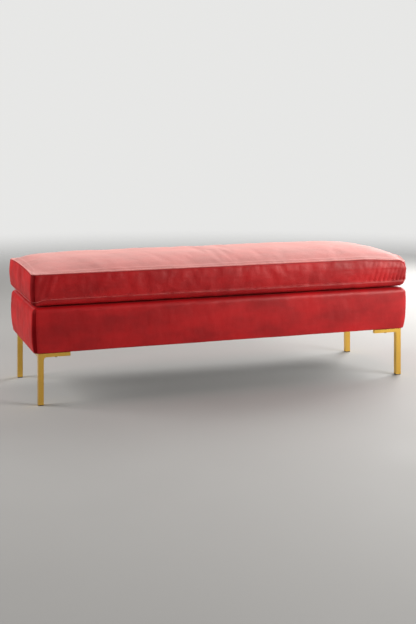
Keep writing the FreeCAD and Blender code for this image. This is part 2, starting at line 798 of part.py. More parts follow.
def base_upholstery(envelope, underside):
    """The velvet panels, the deck cloth, the side padding and the deck foam and felt."""
    outer = base_form("base_skin", as_size(0))
    inner = base_form("base_filling", cover)
    return_x, return_y = half_length - size("cover_return"), half_depth - size("cover_return")
    opening = box("underside_opening", (-return_x, return_x), (-return_y, return_y),
                  (size("leg_height") - TOOL_MARGIN, frame_bottom))
    shell = cut("base_shell", cut("base_shell_closed", outer, inner), fuse("shell_holes", [opening, underside]))
    deck_x, deck_y = half_length - size("deck_border"), half_depth - size("deck_border")
    deck = box("deck_field", (-deck_x, deck_x), (-deck_y, deck_y), (rail_top, 2 * deck_top))
    keep(common("deck_cloth_shape", shell, deck), "deck_cloth")
    border = cut("base_border", shell, deck)
    padding = cut("base_padding", inner, envelope)
    for side, wedge in wedges().items():
        keep(common(f"{side}_panel_shape", border, wedge), f"{side}_cover_panel")
        keep(common(f"{side}_padding_shape", padding, wedge), f"{side}_padding")
    above_felt = box("foam_zone", (-half_length, half_length), (-half_depth, half_depth),
                     (foam_bottom, 2 * deck_top))
    keep(common("deck_foam_shape", common("deck_filling", inner, envelope), above_felt), "deck_foam")
    felt = prism("felt_shape", felt_bottom, foam_bottom, frame_half_length, frame_half_depth,
                 size("frame_corner_radius"))
    keep(felt, "spring_felt")
    edge_x, edge_y = half_length - size("dust_cover_inset"), half_depth - size("dust_cover_inset")
    sheet_shape = prism("dust_sheet", dust_cover_bottom, size("leg_height"), edge_x, edge_y,
                        size("base_corner_radius") - size("dust_cover_inset"))
    keep(cut("dust_cover_shape", sheet_shape, underside), "dust_cover")


def cushion_form(name, inset):
    """The cushion in three lofts that meet at its two seams: underside, boxing and crown."""
    under = size("cushion_under_radius") - inset
    radius = size("cushion_corner_radius") - inset
    long, deep = seam_half_length - inset, seam_half_depth - inset
    bottom = []
    for angle in (0, 20, 40, 60, 90):
        inward = under * (1 - math.sin(math.radians(angle)))
        level = seam_low - under * math.cos(math.radians(angle))
        bottom.append((level, long - inward, deep - inward, radius))
    boxing = []
    for step in range(5):
        share = step / 4
        bulge = size("boxing_bulge") * (4 * share * (1 - share))
        boxing.append((seam_low + size("boxing_height") * share, long + bulge, deep + bulge, radius))
    crown = size("crown_height") - inset
    top = []
    for share in (0, 0.2, 0.4, 0.58, 0.74, 0.87, 0.95, 0.985):
        inward_x = 1 - (1 - share) ** (1 / CROWN_END_POWER)
        inward_y = 1 - (1 - share) ** (1 / CROWN_SIDE_POWER)
        half_deep = deep - deep * inward_y
        rounder = radius + (half_deep * CROWN_ROUNDNESS - radius) * math.sqrt(inward_y)
        top.append((seam_high + crown * share, long - size("crown_run_out") * inward_x, half_deep, rounder))
    return loft(f"{name}_underside", bottom), loft(f"{name}_boxing", boxing), loft(f"{name}_crown", top)


def cushion():
    """The cushion's cover panels, its fibre wraps and its foam core."""
    skin = cushion_form("cushion_skin", as_size(0))
    filling = cushion_form("cushion_filling", cover)
    keep(cut("bottom_panel_shape", skin[0], filling[0]), "cushion_bottom_panel")
    boxing = cut("boxing_shape", skin[1], filling[1])
    keep(cut("top_panel_shape", skin[2], filling[2]), "cushion_top_panel")
    back_reach = 2 * seam_half_depth
    back_zone = box("zip_zone", (-strip_half_length, strip_half_length), (0, back_reach), (seam_low, seam_high))
    keep(cut("boxing_front_shape", boxing, back_zone), "cushion_boxing")
    zip_strips(boxing, back_reach)
    wraps(filling)


def zip_strips(boxing, back_reach):
    """The two strips of boxing beside the zip, each with its edge folded in to the zip's tape."""
    half_slot = size("zip_slot_height") / 2
    slot = box("zip_slot", (-slot_half_length, slot_half_length), (0, back_reach),
               (zip_level - half_slot, zip_level + half_slot))
    inner_face = seam_half_depth + size("boxing_bulge") - cover / 2
    zones = {
        "upper": ((zip_level, seam_high), (zip_level + half_slot, zip_level + half_slot + cover)),
        "lower": ((seam_low, zip_level), (zip_level - half_slot - cover, zip_level - half_slot)),
    }
    for row, (z_range, hem_range) in zones.items():
        zone = box(f"{row}_strip_zone", (-strip_half_length, strip_half_length), (0, back_reach), z_range)
        strip = cut(f"{row}_strip_slotted", common(f"{row}_strip_whole", boxing, zone), slot)
        hem = box(f"{row}_hem", (-slot_half_length, slot_half_length), (tape_outer, inner_face), hem_range)
        keep(fuse(f"{row}_strip_shape", [strip, hem]), f"zip_strip_{row}")


def wraps(filling):
    """The fibre wrap above and below the zip's level, round a plain foam core."""
    inset, core_radius = size("core_inset"), size("core_corner_radius")
    core_low = seam_low + size("core_clearance")
    core_top = seam_high - size("core_clearance")
    keep(prism("core_shape", core_low, core_top, seam_half_length - inset, seam_half_depth - inset,
               core_radius), "cushion_core")
    room = prism("core_room", core_low, core_top, seam_half_length - inset, seam_half_depth - inset, core_radius)
    half_pocket = size("zip_slot_height") / 2 + size("tape_width")
    pocket_face = (tape_outer - size("tape_thickness") / 2 - size("tooth_thickness") / 2
                   - size("slider_clearance") - size("slider_plate") - size("zip_pocket_extra"))
    pocket = box("zip_pocket", (-slot_half_length, slot_half_length), (pocket_face, 2 * seam_half_depth),
                 (zip_level - half_pocket, zip_level + half_pocket))
    stuffing = cut("stuffing", fuse("cushion_filling_whole", list(filling)), fuse("core_and_zip", [room, pocket]))
    reach_x, reach_y = 2 * seam_half_length, 2 * seam_half_depth
    halves = {"upper": (zip_level, 2 * seam_high), "lower": (0, zip_level)}
    for row, z_range in halves.items():
        zone = box(f"{row}_wrap_zone", (-reach_x, reach_x), (-reach_y, reach_y), z_range)
        keep(common(f"{row}_wrap_shape", stuffing, zone), f"cushion_wrap_{row}")


def zip_chain():
    """The zip's tapes, its two rows of teeth and the stops at their ends."""
    half = zip_half_length
    tape_y = (tape_outer - size("tape_thickness"), tape_outer)
    middle = tape_outer - size("tape_thickness") / 2
    row_y = (middle - size("tooth_thickness") / 2, middle + size("tooth_thickness") / 2)
    inner = size("tooth_gap") / 2
    outer = inner + size("tooth_height")
    tape_half = half + size("tape_extra")
    tapes = []
    for row, sign in (("upper", 1), ("lower", -1)):
        limits = sorted((zip_level + sign * inner, zip_level + sign * outer), key=lambda level: level.number)
        keep(box(f"{row}_teeth_bar", (-half, half), row_y, limits), f"zip_teeth_{row}")
        edges = sorted((zip_level + sign * outer, zip_level + sign * (outer + size("tape_width"))),
                       key=lambda level: level.number)
        tapes.append(box(f"{row}_tape", (-tape_half, tape_half), tape_y, edges))
    pair = doc.addObject("Part::Compound", "tape_pair")
    pair.Links = tapes
    keep(pair, "zip_tapes")
    length = size("stop_length")
    blocks = [
        box("left_stop", (-half - length, -half), row_y, (zip_level - outer, zip_level + outer)),
        box("right_stop", (half, half + length), row_y, (zip_level - outer, zip_level + outer)),
    ]
    stops = doc.addObject("Part::Compound", "stop_pair")
    stops.Links = blocks
    keep(stops, "zip_stops")


def zip_slider():
    """The slider: two plates joined by a thin web between the tooth rows, with a bail on the outer plate."""
    x = zip_half_length - size("slider_length") / 2 - size("slider_end_gap")
    middle = tape_outer - size("tape_thickness") / 2
    gap, plate = size("slider_clearance"), size("slider_plate")
    half_teeth = size("tooth_thickness") / 2
    half_long, half_wide = size("slider_length") / 2, size("slider_half_width")
    tooth_edge = size("tooth_gap") / 2 + size("tooth_height")
    x_range = (x - half_long, x + half_long)
    z_range = (zip_level - half_wide, zip_level + half_wide)
    outer_in = middle + half_teeth + gap
    inner_out = middle - half_teeth - gap
    pieces = [
        box("slider_outer_plate", x_range, (outer_in, outer_in + plate), z_range),
        box("slider_inner_plate", x_range, (inner_out - plate, inner_out), z_range),
    ]
    web_half = size("slider_web_length") / 2
    web_thick = size("tooth_gap") / 2 - gap
    pieces.append(box("slider_web", (x - web_half, x + web_half), (inner_out, outer_in),
                      (zip_level - web_thick, zip_level + web_thick)))
    flange_in = tooth_edge + gap
    for sign in (-1, 1):
        levels = sorted((zip_level + sign * flange_in, zip_level + sign * half_wide),
                        key=lambda level: level.number)
        pieces.append(box(f"slider_outer_flange_{sign + 1}", x_range, (tape_outer + gap, outer_in), levels))
        tape_inner = tape_outer - size("tape_thickness")
        pieces.append(box(f"slider_inner_flange_{sign + 1}", x_range, (inner_out, tape_inner - gap), levels))
    plate_face = outer_in + plate
    pin_room = 2 * (size("pull_pin_radius") + size("pull_clearance"))
    roof = plate_face + pin_room
    bail_half, bail_wide, thin = size("bail_length") / 2, size("bail_width") / 2, size("bail_sheet")
    bail_z = (zip_level - bail_wide, zip_level + bail_wide)
    pieces.append(box("bail_roof", (x - bail_half, x + bail_half), (roof, roof + thin), bail_z))
    pieces.append(box("bail_left", (x - bail_half, x - bail_half + thin), (plate_face, roof), bail_z))
    pieces.append(box("bail_right", (x + bail_half - thin, x + bail_half), (plate_face, roof), bail_z))
    keep(fuse("slider_shape", pieces), "zip_slider")
    zip_pull(x, plate_face + pin_room / 2)


def zip_pull(x, pin_y):
    """The pull: a pin under the bail, two arms and a tab that lies along the chain."""
    eye, length, half = size("pull_eye"), size("pull_length"), size("pull_half_width")
    half_thick = size("pull_thickness") / 2
    arm_in = size("bail_width") / 2 + size("pull_clearance")
    arm_out = arm_in + size("pull_arm")
    y_range = (pin_y - half_thick, pin_y + half_thick)
    pieces = [rod("pull_pin", size("pull_pin_radius"), 2 * arm_out, x, pin_y, zip_level - arm_out)]
    for sign in (-1, 1):
        levels = sorted((zip_level + sign * arm_in, zip_level + sign * arm_out), key=lambda level: level.number)
        pieces.append(box(f"pull_arm_{sign + 1}", (x - eye, x), y_range, levels))
    pieces.append(box("pull_tab", (x - length + half, x - eye), y_range, (zip_level - half, zip_level + half)))
    pieces.append(rod("pull_end", half, size("pull_thickness"), x - length + half, pin_y - half_thick,
                      zip_level, "Y"))
    keep(fuse("pull_shape", pieces), "zip_pull")


def check_document():
    """Stop if any object failed or any piece has no sound shape."""
    for thing in doc.Objects:
        if "Invalid" in thing.State or "Error" in thing.State:
            raise RuntimeError(f"{thing.Name} ({thing.Label}) failed: {thing.State}")
    for piece in nodes:
        shape = piece.Shape
        if shape.isNull() or not shape.isValid() or not shape.Solids:
            raise RuntimeError(f"{piece.Label} has no sound shape")


def export():
    """Write each piece to its own file and print its volume and solids."""
    labels = [piece.Label for piece in nodes]
    if len(labels) != len(set(labels)):
        raise RuntimeError("two pieces share a name")
    for piece in nodes:
        piece.Shape.exportStep(f"parts/{piece.Label}.step")
        print(f"{piece.Label}: {len(piece.Shape.Solids)} solids, {piece.Shape.Volume / 1000:.2f} cm3")
    print(f"{len(nodes)} nodes")


def main():
    """Build the bench from the floor up."""
    for corner, (side, face, turn) in CORNERS.items():
        leg(f"leg_{corner}", side, face, turn)
        glide(f"glide_{corner}", side, face)
    leg_fasteners()
    staples()
    underside = hole_tools()
    frame_screws()
    envelope = prism("frame_envelope", frame_bottom, 2 * deck_top, frame_half_length, frame_half_depth,
                     size("frame_corner_radius"))
    wooden_frame(envelope, underside, frame_screw_tools())
    springs()
    spring_clips()
    base_upholstery(envelope, underside)
    cushion()
    zip_chain()
    zip_slider()
    doc.recompute()
    check_document()
    export()


main()
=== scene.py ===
"""Looks of an upholstered bench: a tight velvet base on brass corner legs, and a loose velvet box cushion.

Metres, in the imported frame: +X along the bench, +Y to its back, +Z up, and the origin on the floor.
"""

import json
import logging
import math
from dataclasses import dataclass, field
from enum import Enum
from functools import cache
from typing import Any, Callable

import bpy
import numpy as np
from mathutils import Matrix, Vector

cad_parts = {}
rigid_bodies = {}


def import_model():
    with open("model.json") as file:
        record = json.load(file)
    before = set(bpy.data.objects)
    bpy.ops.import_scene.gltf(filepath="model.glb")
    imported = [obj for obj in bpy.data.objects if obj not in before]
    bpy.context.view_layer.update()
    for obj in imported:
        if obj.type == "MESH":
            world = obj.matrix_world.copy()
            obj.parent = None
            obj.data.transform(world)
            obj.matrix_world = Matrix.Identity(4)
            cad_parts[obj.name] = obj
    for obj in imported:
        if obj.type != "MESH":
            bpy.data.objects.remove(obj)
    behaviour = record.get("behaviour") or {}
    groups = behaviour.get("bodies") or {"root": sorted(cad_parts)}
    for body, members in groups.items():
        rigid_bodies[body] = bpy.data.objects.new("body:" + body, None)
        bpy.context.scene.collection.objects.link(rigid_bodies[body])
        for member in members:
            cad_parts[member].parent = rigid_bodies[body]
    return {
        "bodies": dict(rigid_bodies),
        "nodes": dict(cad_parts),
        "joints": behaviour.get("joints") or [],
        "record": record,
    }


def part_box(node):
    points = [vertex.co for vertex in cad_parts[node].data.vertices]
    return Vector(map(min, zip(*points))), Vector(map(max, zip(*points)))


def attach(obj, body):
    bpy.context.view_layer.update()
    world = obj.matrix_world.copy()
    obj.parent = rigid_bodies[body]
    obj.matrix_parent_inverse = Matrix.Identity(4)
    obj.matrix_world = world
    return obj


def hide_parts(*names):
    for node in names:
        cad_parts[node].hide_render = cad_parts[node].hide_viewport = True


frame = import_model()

LOG = logging.getLogger("bench")

# A distance to a seam that counts as none: the seam mark on the mesh fades out over this length
SEAM_REACH = 0.02

Socket = bpy.types.NodeSocket
Colour = tuple[float, float, float]


# Soft forms


def smooth_step(value: np.ndarray, start: float, end: float) -> np.ndarray:
    """Ease from 0 at start to 1 at end; end may be below start."""
    share = np.clip((value - start) / (end - start), 0.0, 1.0)
    return share * share * (3 - 2 * share)


@dataclass(frozen=True)
class Cells:
    """How many cells a form has on its long sides, its short sides and round each corner."""

    long: int
    short: int
    corner: int

    @property
    def across(self) -> int:
        """Cells along a cap, with half of each corner."""
        return self.long + self.corner

    @property
    def deep(self) -> int:
        """Cells from front to back of a cap, with half of each corner."""
        return self.short + self.corner


@dataclass(frozen=True)
class Ring:
    """One closed line round a form: a rounded rectangle about the Z axis.

    Attributes:
        level: Its height.
        half_length: Half its size along X.
        half_depth: Half its size along Y.
        radius: Its corner radius.
        seam: Its distance over the cloth to the nearest seam.
        crowned: True where the form's crown sets the height.
    """

    level: float
    half_length: float
    half_depth: float
    radius: float
    seam: float = SEAM_REACH
    crowned: bool = False

    def points(self, cells: Cells) -> np.ndarray:
        """The ring's points, anticlockwise from the middle of its front left corner."""
        turn = np.linspace(math.pi / 4, 0.0, cells.corner // 2 + 1)
        sides = (
            ((1, 0), (0, -1), self.half_length, self.half_depth, cells.long),
            ((0, 1), (1, 0), self.half_depth, self.half_length, cells.short),
            ((-1, 0), (0, 1), self.half_length, self.half_depth, cells.long),
            ((0, -1), (-1, 0), self.half_depth, self.half_length, cells.short),
        )
        parts = []
        for along, outward, reach, rise, count in sides:
            straight = reach - self.radius
            arc_along = -straight - self.radius * np.sin(turn)
            arc_out = rise - self.radius + self.radius * np.cos(turn)
            run = np.linspace(-straight, straight, count + 1)
            travel = np.concatenate([arc_along[:-1], run, -arc_along[::-1][1:]])
            out = np.concatenate([arc_out[:-1], np.full(count + 1, rise), arc_out[::-1][1:]])
            parts.append((np.outer(travel, along) + np.outer(out, outward))[:-1])
        plan = np.concatenate(parts)
        return np.column_stack([plan, np.full(len(plan), self.level)])


def fill_ring(rim: np.ndarray, cells: Cells) -> np.ndarray:
    """Fill a ring with a grid of across + 1 by deep + 1 points by blending its four sides."""
    across, deep = cells.across, cells.deep
    loop = np.vstack([rim, rim[:1]])
    front = loop[: across + 1]
    right = loop[across : across + deep + 1]
    back = loop[across + deep : 2 * across + deep + 1][::-1]
    left = loop[2 * across + deep :][::-1]
    u = ((front[:, 0] - front[0, 0]) / (front[-1, 0] - front[0, 0]))[:, None, None]
    v = ((right[:, 1] - right[0, 1]) / (right[-1, 1] - right[0, 1]))[None, :, None]
    between_long = (1 - v) * front[:, None] + v * back[:, None]
    between_short = (1 - u) * left[None] + u * right[None]
    corners = (1 - v) * ((1 - u) * front[0] + u * front[-1]) + v * ((1 - u) * back[0] + u * back[-1])
    return between_long + between_short - corners


class Closing(Enum):
    """How the ends of a stack of rings are closed."""

    OPEN = "open"
    FLOOR = "floor"
    ROOF = "roof"
    BOTH = "both"
    LOOPED = "looped"


@dataclass
class SoftForm:
    """A skin through a stack of rings.

    Attributes:
        rings: The rings, from the bottom outside upwards.
        cells: How many cells each side and corner has.
        closing: How the stack's ends are closed.
        crown: The height of the crown over a point, where a ring or cap is crowned.
    """

    rings: list[Ring]
    cells: Cells
    closing: Closing = Closing.BOTH
    crown: Callable[[np.ndarray, np.ndarray], np.ndarray] | None = None
    points: np.ndarray = field(init=False)
    seams: np.ndarray = field(init=False)
    faces: list[tuple[int, ...]] = field(init=False)

    def __post_init__(self) -> None:
        """Lay out the points and faces."""
        rows = []
        for ring in self.rings:
            row = ring.points(self.cells)
            if ring.crowned and self.crown is not None:
                row[:, 2] = self.crown(row[:, 0], row[:, 1])
            rows.append(row)
        around = len(rows[0])
        self.points = np.concatenate(rows)
        self.seams = np.repeat([ring.seam for ring in self.rings], around)
        self.faces = []
        last = len(rows) if self.closing is Closing.LOOPED else len(rows) - 1
        for row in range(last):
            low, high = row * around, ((row + 1) % len(rows)) * around
            for column in range(around):
                following = (column + 1) % around
                self.faces.append((low + column, low + following, high + following, high + column))
        if self.closing in (Closing.FLOOR, Closing.BOTH):
            self._cap(0, upward=False)
        if self.closing in (Closing.ROOF, Closing.BOTH):
            self._cap(len(rows) - 1, upward=True)

    def _cap(self, row: int, upward: bool) -> None:
        """Fill one ring, by its number, with a grid of faces that face up or down."""
        around = len(self.rings[0].points(self.cells))
        rim = np.arange(row * around, (row + 1) * around)
        grid = fill_ring(self.points[rim], self.cells)
        if self.rings[row].crowned and self.crown is not None:
            grid[:, :, 2] = self.crown(grid[:, :, 0], grid[:, :, 1])
        across, deep = self.cells.across, self.cells.deep
        index = np.zeros((across + 1, deep + 1), int)
        index[:, 0] = rim[: across + 1]
        index[across, :] = rim[across : across + deep + 1]
        index[:, deep] = rim[across + deep : 2 * across + deep + 1][::-1]
        index[0, :] = np.append(rim[2 * across + deep :], rim[0])[::-1]
        inner = grid[1:-1, 1:-1].reshape(-1, 3)
        index[1:-1, 1:-1] = len(self.points) + np.arange(len(inner)).reshape(across - 1, deep - 1)
        self.points = np.concatenate([self.points, inner])
        self.seams = np.concatenate([self.seams, np.full(len(inner), SEAM_REACH)])
        for i in range(across):
            for j in range(deep):
                face = (index[i, j], index[i + 1, j], index[i + 1, j + 1], index[i, j + 1])
                self.faces.append(tuple(int(number) for number in (face if upward else face[::-1])))

    def sector(self, first: int, count: int) -> tuple[np.ndarray, list[tuple[int, ...]]]:
        """The points and faces of count cells of a looped form from a column on, closed at both ends."""
        around, height = len(self.rings[0].points(self.cells)), len(self.rings)
        table = np.arange(height * around).reshape(height, around)
        columns = np.arange(first, first + count + 1) % around
        points = self.points[table[:, columns].ravel()]
        width = count + 1
        faces: list[tuple[int, ...]] = []
        for row in range(height):
            low, high = row * width, ((row + 1) % height) * width
            for column in range(count):
                faces.append((low + column, low + column + 1, high + column + 1, high + column))
        faces.append(tuple(row * width for row in range(height)))
        faces.append(tuple(row * width + count for row in reversed(range(height))))
        return points, faces


def make_piece(name: str, points: np.ndarray, faces: list[tuple[int, ...]]) -> bpy.types.Object:
    """Make a smooth-shaded mesh object and link it to the scene."""
    mesh = bpy.data.meshes.new(name)
    mesh.from_pydata(points.tolist(), [], faces)
    mesh.polygons.foreach_set("use_smooth", [True] * len(mesh.polygons))
    mesh.update()
    piece = bpy.data.objects.new(name, mesh)
    bpy.context.scene.collection.objects.link(piece)
    return piece


def read_points(piece: bpy.types.Object) -> np.ndarray:
    """The vertices of a piece as an array."""
    flat = np.empty(len(piece.data.vertices) * 3, np.float32)
    piece.data.vertices.foreach_get("co", flat)
    return flat.reshape(-1, 3).astype(float)


def read_normals(piece: bpy.types.Object) -> np.ndarray:
    """The vertex normals of a piece as an array."""
    flat = np.empty(len(piece.data.vertices) * 3, np.float32)
    piece.data.vertices.foreach_get("normal", flat)
    return flat.reshape(-1, 3).astype(float)


def write_points(piece: bpy.types.Object, points: np.ndarray) -> None:
    """Put a piece's vertices where an array says."""
    piece.data.vertices.foreach_set("co", points.astype(np.float32).ravel())
    piece.data.update()


def mark_seams(piece: bpy.types.Object, distance: np.ndarray) -> None:
    """Keep each vertex's signed distance to its nearest seam, and its nearness: 1 there and 0 far off."""
    near = 1 - np.minimum(np.abs(distance), SEAM_REACH) / SEAM_REACH
    for name, values in (("seam_nearness", near), ("seam_side", distance)):
        attribute = piece.data.attributes.new(name, "FLOAT", "POINT")
        attribute.data.foreach_set("value", values.astype(np.float32))


def read_mark(piece: bpy.types.Object, name: str) -> np.ndarray:
    """One of a mesh's own marks as an array."""
    values = np.empty(len(piece.data.vertices), np.float32)
    piece.data.attributes[name].data.foreach_get("value", values)
    return values.astype(float)


def refine(piece: bpy.types.Object) -> None:
    """Subdivide a mesh once, smoothly, and keep its marks."""
    modifier = piece.modifiers.new("refine", "SUBSURF")
    modifier.levels = modifier.render_levels = 1
    modifier.boundary_smooth = "PRESERVE_CORNERS"
    apply_modifiers(piece)


def apply_modifiers(piece: bpy.types.Object) -> None:
    """Bake a piece's modifiers into its mesh."""
    graph = bpy.context.evaluated_depsgraph_get()
    graph.update()
    mesh = bpy.data.meshes.new_from_object(piece.evaluated_get(graph), depsgraph=graph)
    mesh.name = piece.name
    piece.modifiers.clear()
    piece.data = mesh


def even_out(values: np.ndarray, edges: np.ndarray, rounds: int) -> np.ndarray:
    """Average each vertex's value with its neighbours' over the edges, again and again."""
    count = len(values)
    near, far = edges[:, 0], edges[:, 1]
    degree = np.bincount(near, minlength=count) + np.bincount(far, minlength=count)
    for _ in range(rounds):
        total = np.bincount(near, weights=values[far], minlength=count)
        total += np.bincount(far, weights=values[near], minlength=count)
        values = 0.5 * values + 0.5 * total / np.maximum(degree, 1)
    return values


@dataclass(frozen=True)
class Ripples:
    """Low, soft unevenness made of a few waves with fixed directions.

    Attributes:
        height: The largest rise, in metres.
        shortest: The shortest wave, in metres.
        longest: The longest wave, in metres.
        seed: What fixes the waves.
        waves: How many waves are added up.
    """

    height: float
    shortest: float
    longest: float
    seed: int
    waves: int = 14

    def over(self, points: np.ndarray) -> np.ndarray:
        """The rise at each point, from -height to height or a little past."""
        chance = np.random.default_rng(self.seed)
        rise = np.zeros(len(points))
        for _ in range(self.waves):
            direction = chance.normal(size=3)
            direction /= np.linalg.norm(direction)
            length = chance.uniform(self.shortest, self.longest)
            rise += np.cos(points @ direction * (2 * math.pi / length) + chance.uniform(0, 2 * math.pi))
        return self.height * rise / math.sqrt(2 * self.waves)


@dataclass(frozen=True)
class SeamRelief:
    """How cloth dips into a seam and rolls up beside it.

    Attributes:
        dip: The depth of the dip, in metres.
        dip_width: How wide it is.
        roll: The height of the roll beside it.
        roll_place: The roll's distance from the seam.
        roll_width: How wide the roll is.
    """

    dip: float
    dip_width: float
    roll: float
    roll_place: float
    roll_width: float

    def over(self, distance: np.ndarray) -> np.ndarray:
        """The rise of the cloth at each distance from the seam."""
        dip = self.dip * np.exp(-(distance / self.dip_width) ** 2)
        return self.roll * np.exp(-((distance - self.roll_place) / self.roll_width) ** 2) - dip


CUSHION_SEAM = SeamRelief(0.0009, 0.0010, 0.0008, 0.0038, 0.0024)
BASE_CORNER_SEAM = SeamRelief(0.0007, 0.0011, 0.0005, 0.0040, 0.0025)
DECK_SEAM = SeamRelief(0.0, 0.0010, 0.0008, 0.0040, 0.0030)


def slack(points: np.ndarray, reach: Vector, margin: float, fade: float) -> np.ndarray:
    """How free a stretched sheet is to sag: 0 at its rim, which is held, and 1 well inside.

    Args:
        points: The sheet's points.
        reach: The corner of its box with the largest x and y.
        margin: Where the sheet is fully free, from its rim.
        fade: The width over which it comes free.

    Returns:
        A share for each point.
    """
    past_x = np.abs(points[:, 0]) - (reach.x - margin)
    past_y = np.abs(points[:, 1]) - (reach.y - margin)
    return smooth_step(np.maximum(past_x, past_y), fade, 0.0)


@dataclass(frozen=True)
class ClothRun:
    """A cloth simulation that blows a closed cover up against its seams, kept as fine puckers only.

    Attributes:
        pressure: Air pressure inside the cover.
        seam_shrink: The share by which the thread gathers the cloth at a seam.
        frames: How many frames it runs.
        broad_rounds: How much averaging tells the swelling, which isn't kept, from the puckers.
        gain: How strongly the puckers are kept.
        most: The most that a pucker may move a point, in metres.
    """

    pressure: float = 4.0
    seam_shrink: float = 0.04
    frames: int = 20
    broad_rounds: int = 16
    gain: float = 0.3
    most: float = 0.0010

    def run(self, piece: bpy.types.Object) -> np.ndarray:
        """Simulate a copy of a marked piece, and say how far each vertex moves along its normal."""
        rest, normals = read_points(piece), read_normals(piece)
        edges = np.array([edge.vertices[:] for edge in piece.data.edges])
        copy = piece.copy()
        copy.data = piece.data.copy()
        bpy.context.scene.collection.objects.link(copy)
        group = copy.vertex_groups.new(name="gathered")
        near = read_mark(piece, "seam_nearness")
        for number, weight in enumerate(near):
            if weight > 0:
                group.add([number], float(weight), "REPLACE")
        modifier = copy.modifiers.new("cover", "CLOTH")
        cloth = modifier.settings
        cloth.quality = 5
        cloth.mass = 0.3
        cloth.air_damping = 4
        cloth.tension_stiffness = cloth.compression_stiffness = 18
        cloth.shear_stiffness = 8
        cloth.bending_stiffness = 0.6
        cloth.use_pressure = True
        cloth.uniform_pressure_force = self.pressure
        cloth.vertex_group_shrink = group.name
        cloth.shrink_min = 0.0
        cloth.shrink_max = self.seam_shrink
        cloth.effector_weights.gravity = 0
        modifier.point_cache.frame_start = 1
        modifier.point_cache.frame_end = self.frames
        scene = bpy.context.scene
        for frame in range(1, self.frames + 1):
            scene.frame_set(frame)
        graph = bpy.context.evaluated_depsgraph_get()
        moved = bpy.data.meshes.new_from_object(copy.evaluated_get(graph), depsgraph=graph)
        flat = np.empty(len(moved.vertices) * 3, np.float32)
        moved.vertices.foreach_get("co", flat)
        bpy.data.objects.remove(copy)
        bpy.data.meshes.remove(moved)
        scene.frame_set(1)
        rise = np.einsum("ij,ij->i", flat.reshape(-1, 3) - rest, normals)
        puckers = rise - even_out(rise, edges, self.broad_rounds)
        LOG.info("cloth on %s: swelling %.1f mm, puckers %.2f mm", piece.name,
                 1000 * np.abs(rise).max(), 1000 * np.abs(puckers).max())
        return self.most * np.tanh(self.gain * puckers / self.most)


# Shader graphs


class Graph:
    """A short way to build a node tree: values and links go in by the names of a node's inputs."""

    def __init__(self, tree: bpy.types.NodeTree) -> None:
        """Take over a node tree."""
        self.tree = tree

    def add(self, kind: str, inputs: dict[str | int, Any] | None = None, **settings: Any) -> bpy.types.Node:
        """Add a node by its type without the prefix, feed its inputs and set its own options."""
        node = self.tree.nodes.new(f"ShaderNode{kind}")
        for name, value in settings.items():
            setattr(node, name, value)
        return self.fill(node, inputs or {})

    def feed(self, socket: Socket, value: Any) -> None:
        """Link a socket into an input, or set the input's own value."""
        if isinstance(value, bpy.types.NodeSocket):
            self.tree.links.new(value, socket)
        elif isinstance(value, tuple) and len(value) == 3 and socket.type == "RGBA":
            socket.default_value = (*value, 1.0)
        else:
            socket.default_value = value

    def fill(self, node: bpy.types.Node, inputs: dict[str | int, Any]) -> bpy.types.Node:
        """Feed several inputs of a node, by name or place."""
        for key, value in inputs.items():
            self.feed(node.inputs[key], value)
        return node

    def maths(self, operation: str, first: Any, second: Any = 0.0) -> Socket:
        """Work out one number from two."""
        return self.add("Math", {0: first, 1: second}, operation=operation).outputs[0]

    def times(self, first: Any, second: Any) -> Socket:
        """Multiply two numbers."""
        return self.maths("MULTIPLY", first, second)

    def plus(self, first: Any, second: Any) -> Socket:
        """Add two numbers."""
        return self.maths("ADD", first, second)

    def ease(self, value: Any, start: float, end: float, low: float = 0.0, high: float = 1.0) -> Socket:
        """Map a value smoothly from start..end to low..high."""
        settings = {"Value": value, "From Min": start, "From Max": end, "To Min": low, "To Max": high}
        return self.add("MapRange", settings, interpolation_type="SMOOTHSTEP").outputs["Result"]

    def blend(self, share: Any, first: Any, second: Any, how: str = "MIX") -> Socket:
        """Mix two colours."""
        colours = {"Factor": share, 6: first, 7: second}
        return self.add("Mix", colours, data_type="RGBA", blend_type=how).outputs[2]

    def stretch(self, vector: Any, scale: tuple[float, float, float]) -> Socket:
        """Multiply a vector by three numbers."""
        return self.add("VectorMath", {0: vector, 1: scale}, operation="MULTIPLY").outputs[0]

    def noise(self, vector: Any, scale: Any, detail: float = 2.0, roughness: float = 0.5) -> Socket:
        """Soft noise from 0 to 1."""
        settings = {"Vector": vector, "Scale": scale, "Detail": detail, "Roughness": roughness}
        return self.add("TexNoise", settings).outputs["Fac"]

    def height(self, value: Any, distance: float, strength: float = 1.0, under: Any = None) -> Socket:
        """Turn a height into a bumped normal, over an earlier bump if one is given."""
        node = self.add("Bump", {"Height": value, "Distance": distance, "Strength": strength})
        if under is not None:
            self.feed(node.inputs["Normal"], under)
        return node.outputs["Normal"]

    def use(self, group: bpy.types.NodeTree, inputs: dict[str, Any]) -> bpy.types.Node:
        """Place a shared effect with its own values."""
        node = self.tree.nodes.new("ShaderNodeGroup")
        node.node_tree = group
        return self.fill(node, inputs)


